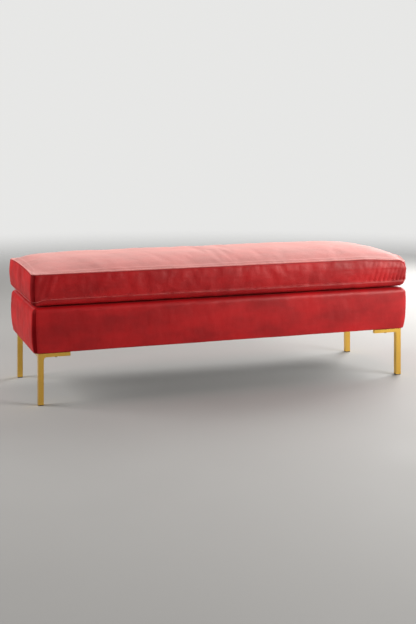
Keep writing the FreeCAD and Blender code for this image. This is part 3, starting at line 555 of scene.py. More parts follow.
def new_effect(name: str, inputs: dict[str, Any], outputs: dict[str, str]) -> tuple[Graph, dict, dict]:
    """Start a shader node group.

    Args:
        name: The group's name.
        inputs: Its inputs' names and default values: a number, a colour or None for a vector.
        outputs: Its outputs' names and kinds: Float, Color or Vector.

    Returns:
        The graph to fill, the sockets that bring its inputs, and the sockets that take its outputs.
    """
    tree = bpy.data.node_groups.new(name, "ShaderNodeTree")
    for label, value in inputs.items():
        kind = "Vector" if value is None else "Color" if isinstance(value, tuple) else "Float"
        socket = tree.interface.new_socket(name=label, in_out="INPUT", socket_type=f"NodeSocket{kind}")
        if value is not None:
            socket.default_value = (*value, 1.0) if isinstance(value, tuple) else value
    for label, kind in outputs.items():
        tree.interface.new_socket(name=label, in_out="OUTPUT", socket_type=f"NodeSocket{kind}")
    entry = tree.nodes.new("NodeGroupInput")
    leave = tree.nodes.new("NodeGroupOutput")
    return (Graph(tree), {label: entry.outputs[label] for label in inputs},
            {label: leave.inputs[label] for label in outputs})


@cache
def pile_effect() -> bpy.types.NodeTree:
    """Velvet pile: brushed patches, crushed marks and single tufts."""
    graph, given, made = new_effect(
        "velvet_pile",
        {"Place": None, "Deep": (0.2, 0.0, 0.0), "Bright": (0.4, 0.0, 0.0), "Patch": 7.0, "Tuft": 900.0},
        {"Colour": "Color", "Crush": "Float", "Tufts": "Float"},
    )
    place = given["Place"]
    brushed = graph.noise(graph.stretch(place, (1.0, 1.6, 2.2)), given["Patch"], 3.0, 0.55)
    close = graph.times(given["Patch"], 5.0)
    streaks = graph.noise(graph.stretch(place, (1.6, 1.6, 0.8)), close, 2.0)
    tufts = graph.noise(place, given["Tuft"], 2.0, 0.7)
    broad = graph.plus(graph.times(brushed, 0.74), graph.times(streaks, 0.08))
    share = graph.ease(graph.plus(broad, graph.times(tufts, 0.18)), 0.3, 0.7)
    graph.feed(made["Colour"], graph.blend(share, given["Deep"], given["Bright"]))
    graph.feed(made["Crush"], streaks)
    graph.feed(made["Tufts"], tufts)
    return graph.tree


@cache
def seam_effect() -> bpy.types.NodeTree:
    """Marks along a seam: painted shade in a line below it, rubbed pile above it, partly real wear and partly
    a painted highlight, and dimples where the stitches pull.
    """
    graph, given, made = new_effect(
        "seam_marks",
        {"Place": None, "Side": 0.0, "Near": 0.0, "Stitch": 0.0035},
        {"Shade": "Float", "Dimples": "Float", "Rub": "Float"},
    )
    side = given["Side"]
    parts = graph.add("SeparateXYZ", {0: given["Place"]})
    along = graph.plus(parts.outputs["X"], parts.outputs["Y"])
    turns = graph.maths("DIVIDE", along, given["Stitch"])
    uneven = graph.noise(given["Place"], 60.0, 1.0)
    wave = graph.maths("SINE", graph.times(graph.plus(turns, uneven), 2 * math.pi))
    # The side changes its sign half way between two seams, so each mark also asks for a near seam
    near = graph.ease(given["Near"], 0.4, 0.6)

    def band(rise_from: float, rise_to: float, fall_from: float, fall_to: float) -> Socket:
        """A strip beside the seam, in metres from it, that eases in and out."""
        strip = graph.times(graph.ease(side, rise_from, rise_to), graph.ease(side, fall_from, fall_to))
        return graph.times(strip, near)

    # painted shade: a darker strip just below the seam, in place of the shade in its valley
    graph.feed(made["Shade"], band(-0.0034, -0.0018, 0.0002, -0.0008))
    # rubbed pile just above the seam: partly real wear, partly a painted highlight of the sheen on its roll
    rubbed = band(0.0, 0.0008, 0.0034, 0.0018)
    graph.feed(made["Rub"], graph.times(rubbed, graph.ease(uneven, 0.15, 0.6)))
    patchy = graph.ease(graph.noise(given["Place"], 22.0, 1.0), 0.42, 0.62)
    pulled = graph.times(graph.ease(wave, -0.2, 0.9), patchy)
    graph.feed(made["Dimples"], graph.times(band(0.0032, 0.0050, 0.0100, 0.0070), pulled))
    return graph.tree


@cache
def weave_effect() -> bpy.types.NodeTree:
    """Plain weave: warp and weft threads that pass over and under each other."""
    graph, given, made = new_effect(
        "plain_weave",
        {"Place": None, "Warp": (0.1, 0.1, 0.1), "Weft": (0.2, 0.2, 0.2), "Thread": 0.0008},
        {"Colour": "Color", "Height": "Float"},
    )
    scaled = graph.add("VectorMath", {0: given["Place"]}, operation="SCALE")
    graph.feed(scaled.inputs["Scale"], graph.maths("DIVIDE", math.pi, given["Thread"]))
    parts = graph.add("SeparateXYZ", {0: scaled.outputs[0]})
    long = graph.maths("SINE", parts.outputs["X"])
    deep = graph.maths("SINE", graph.plus(parts.outputs["Y"], parts.outputs["Z"]))
    over = graph.ease(graph.times(long, deep), -0.25, 0.25)
    slub = graph.noise(graph.stretch(given["Place"], (1.0, 0.15, 0.15)), 900.0, 2.0)
    colour = graph.blend(over, given["Warp"], given["Weft"])
    graph.feed(made["Colour"], graph.blend(graph.ease(slub, 0.3, 0.8, 0.0, 0.35), colour, (0.0, 0.0, 0.0)))
    rounds = graph.times(graph.maths("ABSOLUTE", long), graph.maths("ABSOLUTE", deep))
    graph.feed(made["Height"], graph.plus(rounds, graph.times(slub, 0.4)))
    return graph.tree


@cache
def metal_effect() -> bpy.types.NodeTree:
    """Handled metal: brush lines along one direction, soft smudges and edges rubbed bright."""
    graph, given, made = new_effect(
        "handled_metal",
        {"Place": None, "Metal": (0.8, 0.5, 0.1), "Dull": (0.5, 0.3, 0.1), "Smooth": 0.2, "Rough": 0.4},
        {"Colour": "Color", "Roughness": "Float", "Lines": "Float"},
    )
    lines = graph.noise(graph.stretch(given["Place"], (60.0, 60.0, 1.0)), 55.0, 3.0, 0.6)
    smudge = graph.noise(given["Place"], 24.0, 4.0, 0.6)
    wear_and_sheen = graph.ease(graph.add("NewGeometry").outputs["Pointiness"], 0.505, 0.55)
    aged = graph.times(graph.ease(smudge, 0.4, 0.75), graph.maths("SUBTRACT", 1.0, wear_and_sheen))
    colour = graph.blend(graph.times(aged, 0.6), given["Metal"], given["Dull"])
    graph.feed(made["Colour"], colour)
    share = graph.plus(graph.times(lines, 0.4), graph.times(aged, 0.6))
    span = graph.maths("SUBTRACT", given["Rough"], given["Smooth"])
    graph.feed(made["Roughness"], graph.plus(given["Smooth"], graph.times(share, span)))
    graph.feed(made["Lines"], lines)
    return graph.tree


@cache
def grain_effect() -> bpy.types.NodeTree:
    """Sawn timber: growth rings stretched along the board, pores and saw marks."""
    graph, given, made = new_effect(
        "timber_grain",
        {"Place": None, "Light": (0.6, 0.4, 0.2), "Dark": (0.4, 0.25, 0.1)},
        {"Colour": "Color", "Height": "Float"},
    )
    bent = graph.noise(graph.stretch(given["Place"], (1.0, 4.0, 4.0)), 5.0, 3.0)
    parts = graph.add("SeparateXYZ", {0: graph.stretch(given["Place"], (8.0, 260.0, 260.0))})
    reach = graph.plus(parts.outputs["Y"], parts.outputs["Z"])
    rings = graph.maths("SINE", graph.plus(reach, graph.times(bent, 40.0)))
    pores = graph.noise(graph.stretch(given["Place"], (30.0, 600.0, 600.0)), 2.0, 3.0)
    ringed = graph.ease(rings, -1.0, 1.0, 0.0, 0.6)
    share = graph.plus(ringed, graph.ease(pores, 0.45, 0.8, 0.0, 0.4))
    graph.feed(made["Colour"], graph.blend(share, given["Light"], given["Dark"]))
    graph.feed(made["Height"], share)
    return graph.tree


@cache
def clump_effect() -> bpy.types.NodeTree:
    """Loose fibres or open foam: clumps, single strands and small dark hollows."""
    graph, given, made = new_effect(
        "clumps",
        {"Place": None, "Pale": (0.8, 0.8, 0.8), "Deep": (0.5, 0.5, 0.5), "Clump": 60.0, "Strand": 700.0},
        {"Colour": "Color", "Height": "Float"},
    )
    clumps = graph.noise(given["Place"], given["Clump"], 4.0, 0.6)
    cells = graph.add("TexVoronoi", {"Vector": given["Place"], "Scale": given["Strand"]})
    hollows = graph.ease(cells.outputs["Distance"], 0.1, 0.6)
    share = graph.times(graph.ease(clumps, 0.3, 0.7), 0.6)
    share = graph.plus(share, graph.times(hollows, 0.4))
    graph.feed(made["Colour"], graph.blend(share, given["Pale"], given["Deep"]))
    graph.feed(made["Height"], graph.plus(clumps, graph.times(hollows, 0.3)))
    return graph.tree


def new_material(name: str) -> tuple[Graph, bpy.types.Node, Socket]:
    """Start a material: its graph, its Principled shader and the place on the object."""
    material = bpy.data.materials.new(name)
    material.use_nodes = True
    graph = Graph(material.node_tree)
    shader = material.node_tree.nodes["Principled BSDF"]
    place = graph.add("TexCoord").outputs["Object"]
    return graph, shader, place


def relief(graph: Graph, shader: bpy.types.Node, effect: bpy.types.Node, heights: tuple[float, float],
           roughness: tuple[float, float], depth: float, strength: float, specular: float = 0.5) -> None:
    """Colour a shader by an effect whose height also sets its roughness and its bumps.

    Args:
        graph: The material's graph.
        shader: Its shader.
        effect: A shared effect with a colour and a height.
        heights: The lowest and highest height that count.
        roughness: The roughness at those heights.
        depth: The bumps' depth, in metres.
        strength: The bumps' strength.
        specular: The strength of the plain reflection.
    """
    height = effect.outputs["Height"]
    graph.fill(shader, {
        "Base Color": effect.outputs["Colour"],
        "Roughness": graph.ease(height, *heights, *roughness),
        "Normal": graph.height(height, depth, strength),
        "Specular IOR Level": specular,
    })


@dataclass(frozen=True)
class Finish:
    """A named material that is built when a piece first asks for it."""

    name: str

    @cache
    def material(self) -> bpy.types.Material:
        """Build the material once."""
        self.paint(*new_material(self.name))
        return bpy.data.materials[self.name]

    def paint(self, graph: Graph, shader: bpy.types.Node, place: Socket) -> None:
        """Fill the shader; each kind of finish does this in its own way."""
        raise NotImplementedError


@dataclass(frozen=True)
class Velvet(Finish):
    """Cotton velvet with a short dense pile; how it shines depends on the way that the nap was laid."""

    sheen_weight: float
    sheen_roughness: float
    specular: float = 0.3
    roughness: float = 0.62
    deep: Colour = (0.29, 0.0035, 0.0060)
    bright: Colour = (0.47, 0.0065, 0.0095)
    # the pale pink of the pile beside a seam: partly real wear, partly a painted highlight of the sheen on
    # the seam's roll
    wear_and_sheen: Colour = (0.78, 0.20, 0.18)
    sheen: Colour = (0.92, 0.58, 0.53)
    stitch: float = 0.0036

    def paint(self, graph: Graph, shader: bpy.types.Node, place: Socket) -> None:
        """Lay the pile, then the marks beside the seams: painted shade below them and in the stitch dimples,
        and a painted highlight on the rubbed pile above them.
        """
        pile = graph.use(pile_effect(), {"Place": place, "Deep": self.deep, "Bright": self.bright})
        side = graph.add("Attribute", attribute_name="seam_side").outputs["Fac"]
        near = graph.add("Attribute", attribute_name="seam_nearness").outputs["Fac"]
        marks = {"Place": place, "Side": side, "Near": near, "Stitch": self.stitch}
        seam = graph.use(seam_effect(), marks)
        # rubbed pile beside the seam: partly real wear, partly a painted highlight
        rubbed = graph.times(seam.outputs["Rub"], 0.6)
        colour = graph.blend(rubbed, pile.outputs["Colour"], self.wear_and_sheen)
        # painted shade: the strip below the seam and the stitch dimples are darkened in the base colour
        shade = graph.times(seam.outputs["Shade"], 0.45)
        hollow = graph.maths("MAXIMUM", shade, graph.times(seam.outputs["Dimples"], 0.35))
        dark = tuple(0.35 * part for part in self.deep)
        rough = graph.ease(pile.outputs["Tufts"], 0.2, 0.8, self.roughness - 0.06, self.roughness + 0.1)
        normal = graph.height(pile.outputs["Crush"], 0.0016, 0.4)
        normal = graph.height(pile.outputs["Tufts"], 0.0004, 0.5, under=normal)
        pressed = graph.times(seam.outputs["Dimples"], -1.0)
        graph.fill(shader, {
            "Base Color": graph.blend(hollow, colour, dark),
            "Roughness": rough,
            "Normal": graph.height(pressed, 0.0010, 0.8, under=normal),
            "Specular IOR Level": self.specular,
            "Specular Tint": self.sheen,
            "Sheen Weight": self.sheen_weight,
            "Sheen Roughness": self.sheen_roughness,
            "Sheen Tint": self.sheen,
        })


@dataclass(frozen=True)
class Metal(Finish):
    """Plated or bare metal with brush lines and smudges."""

    metal: Colour
    dull: Colour
    smooth: float = 0.2
    rough: float = 0.4
    line_depth: float = 0.00004

    def paint(self, graph: Graph, shader: bpy.types.Node, place: Socket) -> None:
        """Brush and smudge the metal."""
        colours = {"Place": place, "Metal": self.metal, "Dull": self.dull}
        effect = graph.use(metal_effect(), colours | {"Smooth": self.smooth, "Rough": self.rough})
        graph.fill(shader, {
            "Base Color": effect.outputs["Colour"],
            "Roughness": effect.outputs["Roughness"],
            "Normal": graph.height(effect.outputs["Lines"], self.line_depth, 0.5),
            "Metallic": 1.0,
        })


@dataclass(frozen=True)
class Timber(Finish):
    """Sawn hardwood for the frame inside."""

    light: Colour
    dark: Colour

    def paint(self, graph: Graph, shader: bpy.types.Node, place: Socket) -> None:
        """Draw the growth rings."""
        grain = graph.use(grain_effect(), {"Place": place, "Light": self.light, "Dark": self.dark})
        relief(graph, shader, grain, (0.0, 1.0), (0.6, 0.85), 0.0004, 0.6)


@dataclass(frozen=True)
class Cloth(Finish):
    """Plain woven cloth."""

    warp: Colour
    weft: Colour
    thread: float = 0.0012
    roughness: float = 0.9

    def paint(self, graph: Graph, shader: bpy.types.Node, place: Socket) -> None:
        """Weave the cloth; its bumps are less deep than a thread is thick."""
        threads = {"Place": place, "Warp": self.warp, "Weft": self.weft, "Thread": self.thread}
        weave = graph.use(weave_effect(), threads)
        rough = (self.roughness, self.roughness - 0.15)
        relief(graph, shader, weave, (0.0, 1.2), rough, 0.4 * self.thread, 0.8, specular=0.2)


@dataclass(frozen=True)
class Stuffing(Finish):
    """Fibre wadding, felt or open foam."""

    pale: Colour
    deep: Colour
    clump: float
    strand: float
    depth: float

    def paint(self, graph: Graph, shader: bpy.types.Node, place: Socket) -> None:
        """Clump the fibres."""
        colours = {"Place": place, "Pale": self.pale, "Deep": self.deep}
        clumps = graph.use(clump_effect(), colours | {"Clump": self.clump, "Strand": self.strand})
        relief(graph, shader, clumps, (0.2, 1.0), (1.0, 0.85), self.depth, 0.8, specular=0.15)


@dataclass(frozen=True)
class Plastic(Finish):
    """Moulded nylon with a fine satin skin."""

    colour: Colour
    roughness: float = 0.45

    def paint(self, graph: Graph, shader: bpy.types.Node, place: Socket) -> None:
        """Give the nylon its skin."""
        deep = tuple(0.7 * part for part in self.colour)
        values = {"Place": place, "Pale": self.colour, "Deep": deep, "Clump": 90.0, "Strand": 1800.0}
        skin = graph.use(clump_effect(), values)
        rough = (self.roughness - 0.08, self.roughness + 0.12)
        relief(graph, shader, skin, (0.2, 1.0), rough, 0.0001, 0.5)


VELVET_SIDE = Velvet("velvet_side", 0.03, 0.30, 0.50, 0.40)
VELVET_TOP = Velvet("velvet_top", 0.84, 0.96, 0.10)
VELVET_END = Velvet("velvet_end", 0.30, 0.35, 0.06)
# painted shade: the left corners' velvet is darker in colour and has no sheen, in place of the shade where
# the corner turns away from the light
VELVET_PAINTED_SHADE_CORNER = Velvet("velvet_corner", 0.0, 0.30, 0.08, deep=(0.16, 0.0015, 0.0030),
                       bright=(0.26, 0.0030, 0.0050))
BRASS = Metal("satin_brass", (0.86, 0.52, 0.10), (0.55, 0.30, 0.07), 0.16, 0.34)
DARK_STEEL = Metal("blackened_screw", (0.10, 0.10, 0.11), (0.05, 0.05, 0.05), 0.3, 0.5)
ZINC = Metal("zinc_plate", (0.62, 0.63, 0.65), (0.42, 0.43, 0.44), 0.22, 0.42)
INSERT_BRASS = Metal("turned_brass", (0.78, 0.55, 0.22), (0.5, 0.34, 0.14), 0.2, 0.35)
SPRING_STEEL = Metal("oiled_spring_wire", (0.30, 0.29, 0.28), (0.16, 0.13, 0.11), 0.25, 0.5)
ZIP_METAL = Metal("zip_brass", (0.70, 0.46, 0.18), (0.40, 0.25, 0.10), 0.22, 0.4)
TIMBER = Timber("sawn_hardwood", (0.58, 0.40, 0.24), (0.40, 0.25, 0.13))
DECK_CLOTH = Cloth("deck_cotton", (0.42, 0.37, 0.31), (0.33, 0.29, 0.24), 0.0011)
DUST_CLOTH = Cloth("black_underlining", (0.018, 0.018, 0.02), (0.035, 0.035, 0.038), 0.0009)
ZIP_TAPE = Cloth("zip_tape", (0.20, 0.012, 0.018), (0.13, 0.008, 0.012), 0.0005)
FIBRE = Stuffing("fibre_wadding", (0.86, 0.86, 0.85), (0.62, 0.62, 0.61), 45.0, 500.0, 0.003)
FOAM = Stuffing("cut_foam", (0.80, 0.74, 0.50), (0.60, 0.52, 0.30), 30.0, 1100.0, 0.0008)
FELT = Stuffing("grey_felt", (0.42, 0.41, 0.40), (0.22, 0.21, 0.22), 160.0, 900.0, 0.001)
NYLON = Plastic("black_nylon", (0.02, 0.02, 0.022))
COIL = Plastic("zip_coil", (0.24, 0.016, 0.022), 0.35)


def dress(piece: bpy.types.Object, *finishes: Finish) -> None:
    """Give a piece its finishes; each face keeps the number of its own."""
    numbers = [face.material_index for face in piece.data.polygons]
    piece.data.materials.clear()
    for finish in finishes:
        piece.data.materials.append(finish.material())
    if len(finishes) > 1:
        piece.data.polygons.foreach_set("material_index", numbers)


class Nap(Enum):
    """How the nap lies on a part of a cover, and on the left corners the velvet darkened by painted shade;
    each number is a place in the cover's row of finishes.
    """

    SIDE = 0
    TOP = 1
    END = 2
    # the left corners take the velvet with painted shade
    LEFT_CORNER = 3


# A face is on a left corner if its normal has this share both to the left and to the front or back
LEFT_CORNER_TURN = 0.30


def lay_nap(piece: bpy.types.Object, top_level: float) -> None:
    """Number each face by the way its nap lies; faces above top_level are on the top, and faces on the left
    corners get the velvet darkened by painted shade.
    """
    for face in piece.data.polygons:
        nap = Nap.SIDE
        if face.center.z > top_level:
            nap = Nap.TOP
        elif min(-face.normal.x, abs(face.normal.y)) > LEFT_CORNER_TURN:
            nap = Nap.LEFT_CORNER
        elif abs(face.normal.x) > math.cos(math.pi / 4):
            nap = Nap.END
        face.material_index = nap.value


def seat(piece: bpy.types.Object, body: str, finish: Finish | tuple[Finish, ...],
         stands_for: tuple[str, ...]) -> None:
    """Dress a new piece, fix it to its body and report it.

    Args:
        piece: The piece.
        body: The body it rides on.
        finish: Its finish, or several.
        stands_for: The CAD nodes it replaces.
    """
    dress(piece, *(finish if isinstance(finish, tuple) else (finish,)))
    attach(piece, body)
    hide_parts(*stands_for)
    LOG.info("%s: %d faces on %s", piece.name, len(piece.data.polygons), body)


# The loose cushion


@dataclass
class LooseCushion:
    """The velvet box cushion with its fibre wraps and foam core.

    Attributes:
        seam_half_length: Half the seams' length along the bench.
        seam_half_depth: Half the seams' depth.
        bottom: The level it rests at.
        seam_low: The level of the lower seam.
        seam_high: The level of the upper seam.
        crown_height: How far the top rises over the upper seam.
        bulge: How far the boxing swells past its seams.
        corner_radius: The corners' radius in plan.
        crown_run_out: How far from each end the crown starts to fall.
        side_power: How late the crown falls towards its sides.
        end_power: How late it falls towards its ends.
        slip: How far the cushion has slid along the base.
        right_droop: How far the top has sunk at the right front corner.
        left_rise: How far the top stands up at the left end.
        corner_sag: How far the boxing sags at the left front corner.
        right_swell: How far the right end bulges outwards.
        edge_lift: How far the lower edge stands off the deck.
        lifted_width: How far in from the edge that lift reaches.
        fold_depth: The depth of the gathers by the right front corner.
        fold_fade: The height over the lower seam at which they have nearly gone.
        fold_tail: The share of their depth that goes on above that.
        fold_lean: How far they lean along the bench as they rise.
        fold_start: How far from the end of the seam the first one is.
        fold_count: How many lie in the first tenth of a metre.
        fold_crowding: How they crowd together towards the corner; 1 spaces them evenly.
        tuck_depth: The depth of the faint tucks by the left front corner.
        cells: The cover's cells.
        seam_steps: Distances from the seams at which the boxing has rings.
        boxing_shares: Shares of the boxing's height at which it has rings besides.
        zip_steps: Distances from the zip's edge at which it has rings besides.
        turn_angles: Angles at which the underside's turn has rings.
        top_steps: Distances from the upper seam at which the top has rings.
        zip_half_height: Half the height of the zip's channel.
        zip_half_length: Half its length.
        zip_depth: How deep the channel is at its middle.
        wrap_inset: How far the fibre lies inside the velvet.
        wrap_gap: The gap between the fibre and the core, and between the fibre's halves.
        wrap_cells: The wrap's cells.
        wrap_fluff: How uneven the fibre is.
        pocket_half_height: Half the height of the room that the fibre leaves for the zip.
        pocket_half_length: Half that room's length.
        core_edge: How soft the foam core's cut edges are.
        cloth: The cloth simulation that puckers the cover.
    """

    seam_half_length: float
    seam_half_depth: float
    bottom: float
    seam_low: float
    seam_high: float
    crown_height: float
    bulge: float
    corner_radius: float = 0.020
    crown_run_out: float = 0.466
    side_power: float = 3.0
    end_power: float = 6.0
    slip: float = -0.0045
    right_droop: float = 0.016
    left_rise: float = 0.008
    corner_sag: float = 0.008
    right_swell: float = 0.003
    edge_lift: float = 0.0035
    lifted_width: float = 0.06
    fold_depth: float = 0.0072
    fold_fade: float = 0.017
    fold_tail: float = 0.10
    fold_lean: float = 0.28
    fold_start: float = 0.005
    fold_count: float = 6.6
    fold_crowding: float = 0.8
    tuck_depth: float = 0.0007
    cells: Cells = Cells(132, 30, 6)
    seam_steps: tuple[float, ...] = (0.0, 0.0012, 0.0026, 0.0045, 0.007, 0.0105, 0.0155)
    boxing_shares: tuple[float, ...] = (0.27, 0.35, 0.65, 0.73)
    zip_steps: tuple[float, ...] = (-0.0011, 0.0006, 0.0024)
    turn_angles: tuple[float, ...] = (0, 9, 20, 32, 45, 58, 69, 77, 83.5, 87)
    top_steps: tuple[float, ...] = (0.0013, 0.0028, 0.0048, 0.0075, 0.0115, 0.0175)
    zip_half_height: float = 0.0062
    zip_half_length: float = 0.659
    zip_depth: float = 0.0082
    wrap_inset: float = 0.006
    wrap_gap: float = 0.0006
    wrap_cells: Cells = Cells(66, 22, 4)
    wrap_fluff: float = 0.0012
    pocket_half_height: float = 0.019
    pocket_half_length: float = 0.692
    core_edge: float = 0.004
    cloth: ClothRun = ClothRun()

    @classmethod
    def from_frame(cls) -> "LooseCushion":
        """Read the cushion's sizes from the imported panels."""
        _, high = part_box("cushion_top_panel")
        boxing_low, boxing_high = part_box("cushion_boxing")
        bottom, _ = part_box("cushion_bottom_panel")
        return cls(
            seam_half_length=high.x,
            seam_half_depth=high.y,
            bottom=bottom.z,
            seam_low=boxing_low.z,
            seam_high=boxing_high.z,
            crown_height=0.039,
            bulge=boxing_high.x - high.x,
        )

    @property
    def zip_level(self) -> float:
        """The height of the zip's middle."""
        return (self.seam_low + self.seam_high) / 2

    def crown(self, inset: float) -> Callable[[np.ndarray, np.ndarray], np.ndarray]:
        """The law of the top's height by x and y, for a skin that lies inside the cover by inset."""
        long, deep = self.seam_half_length - inset, self.seam_half_depth - inset

        def height(x: np.ndarray, y: np.ndarray) -> np.ndarray:
            from_end = np.clip((long - np.abs(x)) / self.crown_run_out, 0.0, 1.0)
            side = 1 - np.clip(np.abs(y) / deep, 0.0, 1.0) ** self.side_power
            end = 1 - (1 - from_end) ** self.end_power
            return self.seam_high - 0.3 * inset + (self.crown_height - 0.7 * inset) * side * end

        return height

    def outer_rings(self, inset: float, start: float, end: float) -> list[Ring]:
        """Rings round the boxing between two levels, finer beside the seams and at the zip's edges."""
        span = self.seam_high - self.seam_low
        levels = {self.seam_low + share * span for share in self.boxing_shares}
        for step in self.seam_steps:
            levels |= {self.seam_low + step, self.seam_high - step}
        for step in self.zip_steps:
            offset = self.zip_half_height + step
            levels |= {self.zip_level - offset, self.zip_level + offset}
        rings = []
        for level in sorted(level for level in levels if start - 1e-6 <= level <= end + 1e-6):
            share = (level - self.seam_low) / span
            swell = 4 * self.bulge * share * (1 - share) - inset
            from_seam = min(level - self.seam_low, self.seam_high - level)
            below_top = self.seam_high - level < level - self.seam_low
            rings.append(Ring(level, self.seam_half_length + swell, self.seam_half_depth + swell,
                              self.corner_radius - inset, -from_seam if below_top else from_seam))
        return rings

    def under_rings(self, inset: float) -> list[Ring]:
        """Rings from the flat underside round to just under the lower seam."""
        turn = self.seam_low - self.bottom - self.edge_lift - inset
        rings = []
        for angle in self.turn_angles:
            inward = inset + turn * (1 - math.sin(math.radians(angle)))
            level = self.seam_low - turn * math.cos(math.radians(angle))
            rings.append(Ring(level, self.seam_half_length - inward, self.seam_half_depth - inward,
                              max(self.corner_radius - 0.4 * inward, 0.006),
                              -turn * math.radians(90 - angle)))
        rest = turn + inset + self.lifted_width
        flat = Ring(self.bottom + inset, self.seam_half_length - rest, self.seam_half_depth - rest, 0.006)
        return [flat, *rings]

    def top_rings(self, inset: float) -> list[Ring]:
        """Rings on the top panel beside the upper seam."""
        return [
            Ring(self.seam_high, self.seam_half_length - inset - step, self.seam_half_depth - inset - step,
                 max(self.corner_radius - inset - 0.9 * step, 0.005), step, True)
            for step in self.top_steps
        ]

    def cover(self) -> bpy.types.Object:
        """The velvet cover: underside, boxing and crowned top in one sewn skin."""
        boxing = self.outer_rings(0.0, self.seam_low, self.seam_high)
        rings = self.under_rings(0.0) + boxing + self.top_rings(0.0)
        form = SoftForm(rings, self.cells, Closing.BOTH, self.crown(0.0))
        piece = make_piece("cushion_cover", form.points, form.faces)
        lay_nap(piece, self.seam_high)
        mark_seams(piece, form.seams)
        normals = read_normals(piece)
        puckers = self.cloth.run(piece)
        write_points(piece, read_points(piece) + normals * puckers[:, None])
        refine(piece)
        self.tailor(piece)
        seat(piece, "cushion", (VELVET_SIDE, VELVET_TOP, VELVET_END, VELVET_PAINTED_SHADE_CORNER),
             ("cushion_bottom_panel", "cushion_top_panel", "cushion_boxing",
              "zip_strip_upper", "zip_strip_lower"))
        return piece

    def tailor(self, piece: bpy.types.Object) -> None:
        """Press in the seams, the zip's channel and the gathers, and let the cloth settle unevenly."""
        points, normals = read_points(piece), read_normals(piece)
        rise = CUSHION_SEAM.over((1 - read_mark(piece, "seam_nearness")) * SEAM_REACH)
        rise += self.settling(points)
        rise += self.gathers(points, normals)
        points = points + normals * rise[:, None]
        points = self.lean(points)
        points[:, 0] += self.slip
        points = self.zip_channel(points)
        points[:, 2] = np.maximum(points[:, 2], self.bottom)
        write_points(piece, points)

    def settling(self, points: np.ndarray) -> np.ndarray:
        """Soft unevenness, less towards the seams and none underneath."""
        up = smooth_step(points[:, 2], self.seam_high, self.seam_high + 0.012)
        side = np.clip(1 - np.abs(points[:, 2] - self.zip_level) / (self.seam_high - self.zip_level), 0, 1)
        broad = Ripples(0.0011, 0.14, 0.38, 11).over(points)
        close = Ripples(0.0005, 0.035, 0.09, 12).over(points)
        on_boxing = (0.4 + 0.6 * side) * (1 - up) * (broad + close) * (points[:, 2] > self.seam_low)
        return on_boxing + up * (1.2 * broad + 0.8 * close)

    def lean(self, points: np.ndarray) -> np.ndarray:
        """Let the filling sag and swell: each end of the cushion has settled in its own way."""
        x, y, z = points.T
        from_left, from_right = self.seam_half_length + x, self.seam_half_length - x
        across = y / self.seam_half_depth
        upper = smooth_step(z, self.zip_level - 0.008, self.seam_high)
        lower = smooth_step(z, self.zip_level, self.seam_low)
        lower *= smooth_step(z, self.bottom, self.bottom + 0.02)
        gentle, steep = smooth_step(from_right, 0.177, 0.037), smooth_step(from_right, 0.042, -0.005)
        droop = self.right_droop * (0.42 * gentle + 0.58 * steep) * smooth_step(-across, 0.72, 1.0)
        raised = self.left_rise * (1 - across ** 2) * smooth_step(from_left, 0.157, 0.007)
        corner = smooth_step(from_left, 0.052, 0.007) * smooth_step(-across, 0.8, 1.0)
        change = upper * (raised - droop) - self.corner_sag * lower * corner
        swell = self.right_swell * smooth_step(from_right, 0.207, 0.007)
        return np.column_stack([x + swell, y, z + change])

    def gathers(self, points: np.ndarray, normals: np.ndarray) -> np.ndarray:
        """Folds in the front boxing: deep by the right corner, faint tucks by the left one."""
        x, z = points[:, 0], points[:, 2]
        from_left, from_right = self.seam_half_length + x, self.seam_half_length - x
        front = smooth_step(-normals[:, 1], 0.2, 0.7) * (points[:, 1] < 0)
        above = np.maximum(z - self.seam_low, 0.0)
        span = self.seam_high - self.seam_low
        leaning = self.fold_lean * above
        from_first = np.maximum(from_right - self.fold_start + leaning, 0.0)
        count = self.fold_count * (from_first / 0.1) ** self.fold_crowding
        ridge = (0.5 + 0.5 * np.cos(2 * math.pi * count)) ** 2.0 - 0.35
        along = smooth_step(from_right, 0.217, 0.047) * smooth_step(from_right, -0.0065, 0.007)
        fade = smooth_step(above, 0.001, 0.005) * np.exp(-above / self.fold_fade)
        fade += self.fold_tail * smooth_step(above, 0.0, 0.01)
        folds = self.fold_depth * ridge * along * fade * smooth_step(above, span, span - 0.01)
        left_fade = smooth_step(above, span + 0.001, span - 0.012) * smooth_step(above, 0.0, 0.01)
        left = smooth_step(from_left, 0.002, 0.017) * smooth_step(from_left, 0.167, 0.067)
        tucks = Ripples(1.0, 0.011, 0.024, 13, 5).over(np.column_stack([x - leaning, 0 * x, 0.02 * z]))
        return front * (folds + self.tuck_depth * tucks * left * left_fade)

    def zip_channel(self, points: np.ndarray) -> np.ndarray:
        """Sink the boxing at the back where the zip lies."""
        x, y, z = points.T
        back = self.seam_half_depth - 0.004
        from_middle, half = np.abs(z - self.zip_level), self.zip_half_height
        across = smooth_step(from_middle, half + 0.0004, half - 0.0009)
        along = smooth_step(np.abs(x), self.zip_half_length + 0.003, self.zip_half_length - 0.002)
        floor = self.seam_half_depth + self.bulge - self.zip_depth
        sunk = np.where(y > back, y + (floor - y) * across * along, y)
        return np.column_stack([x, sunk, z])

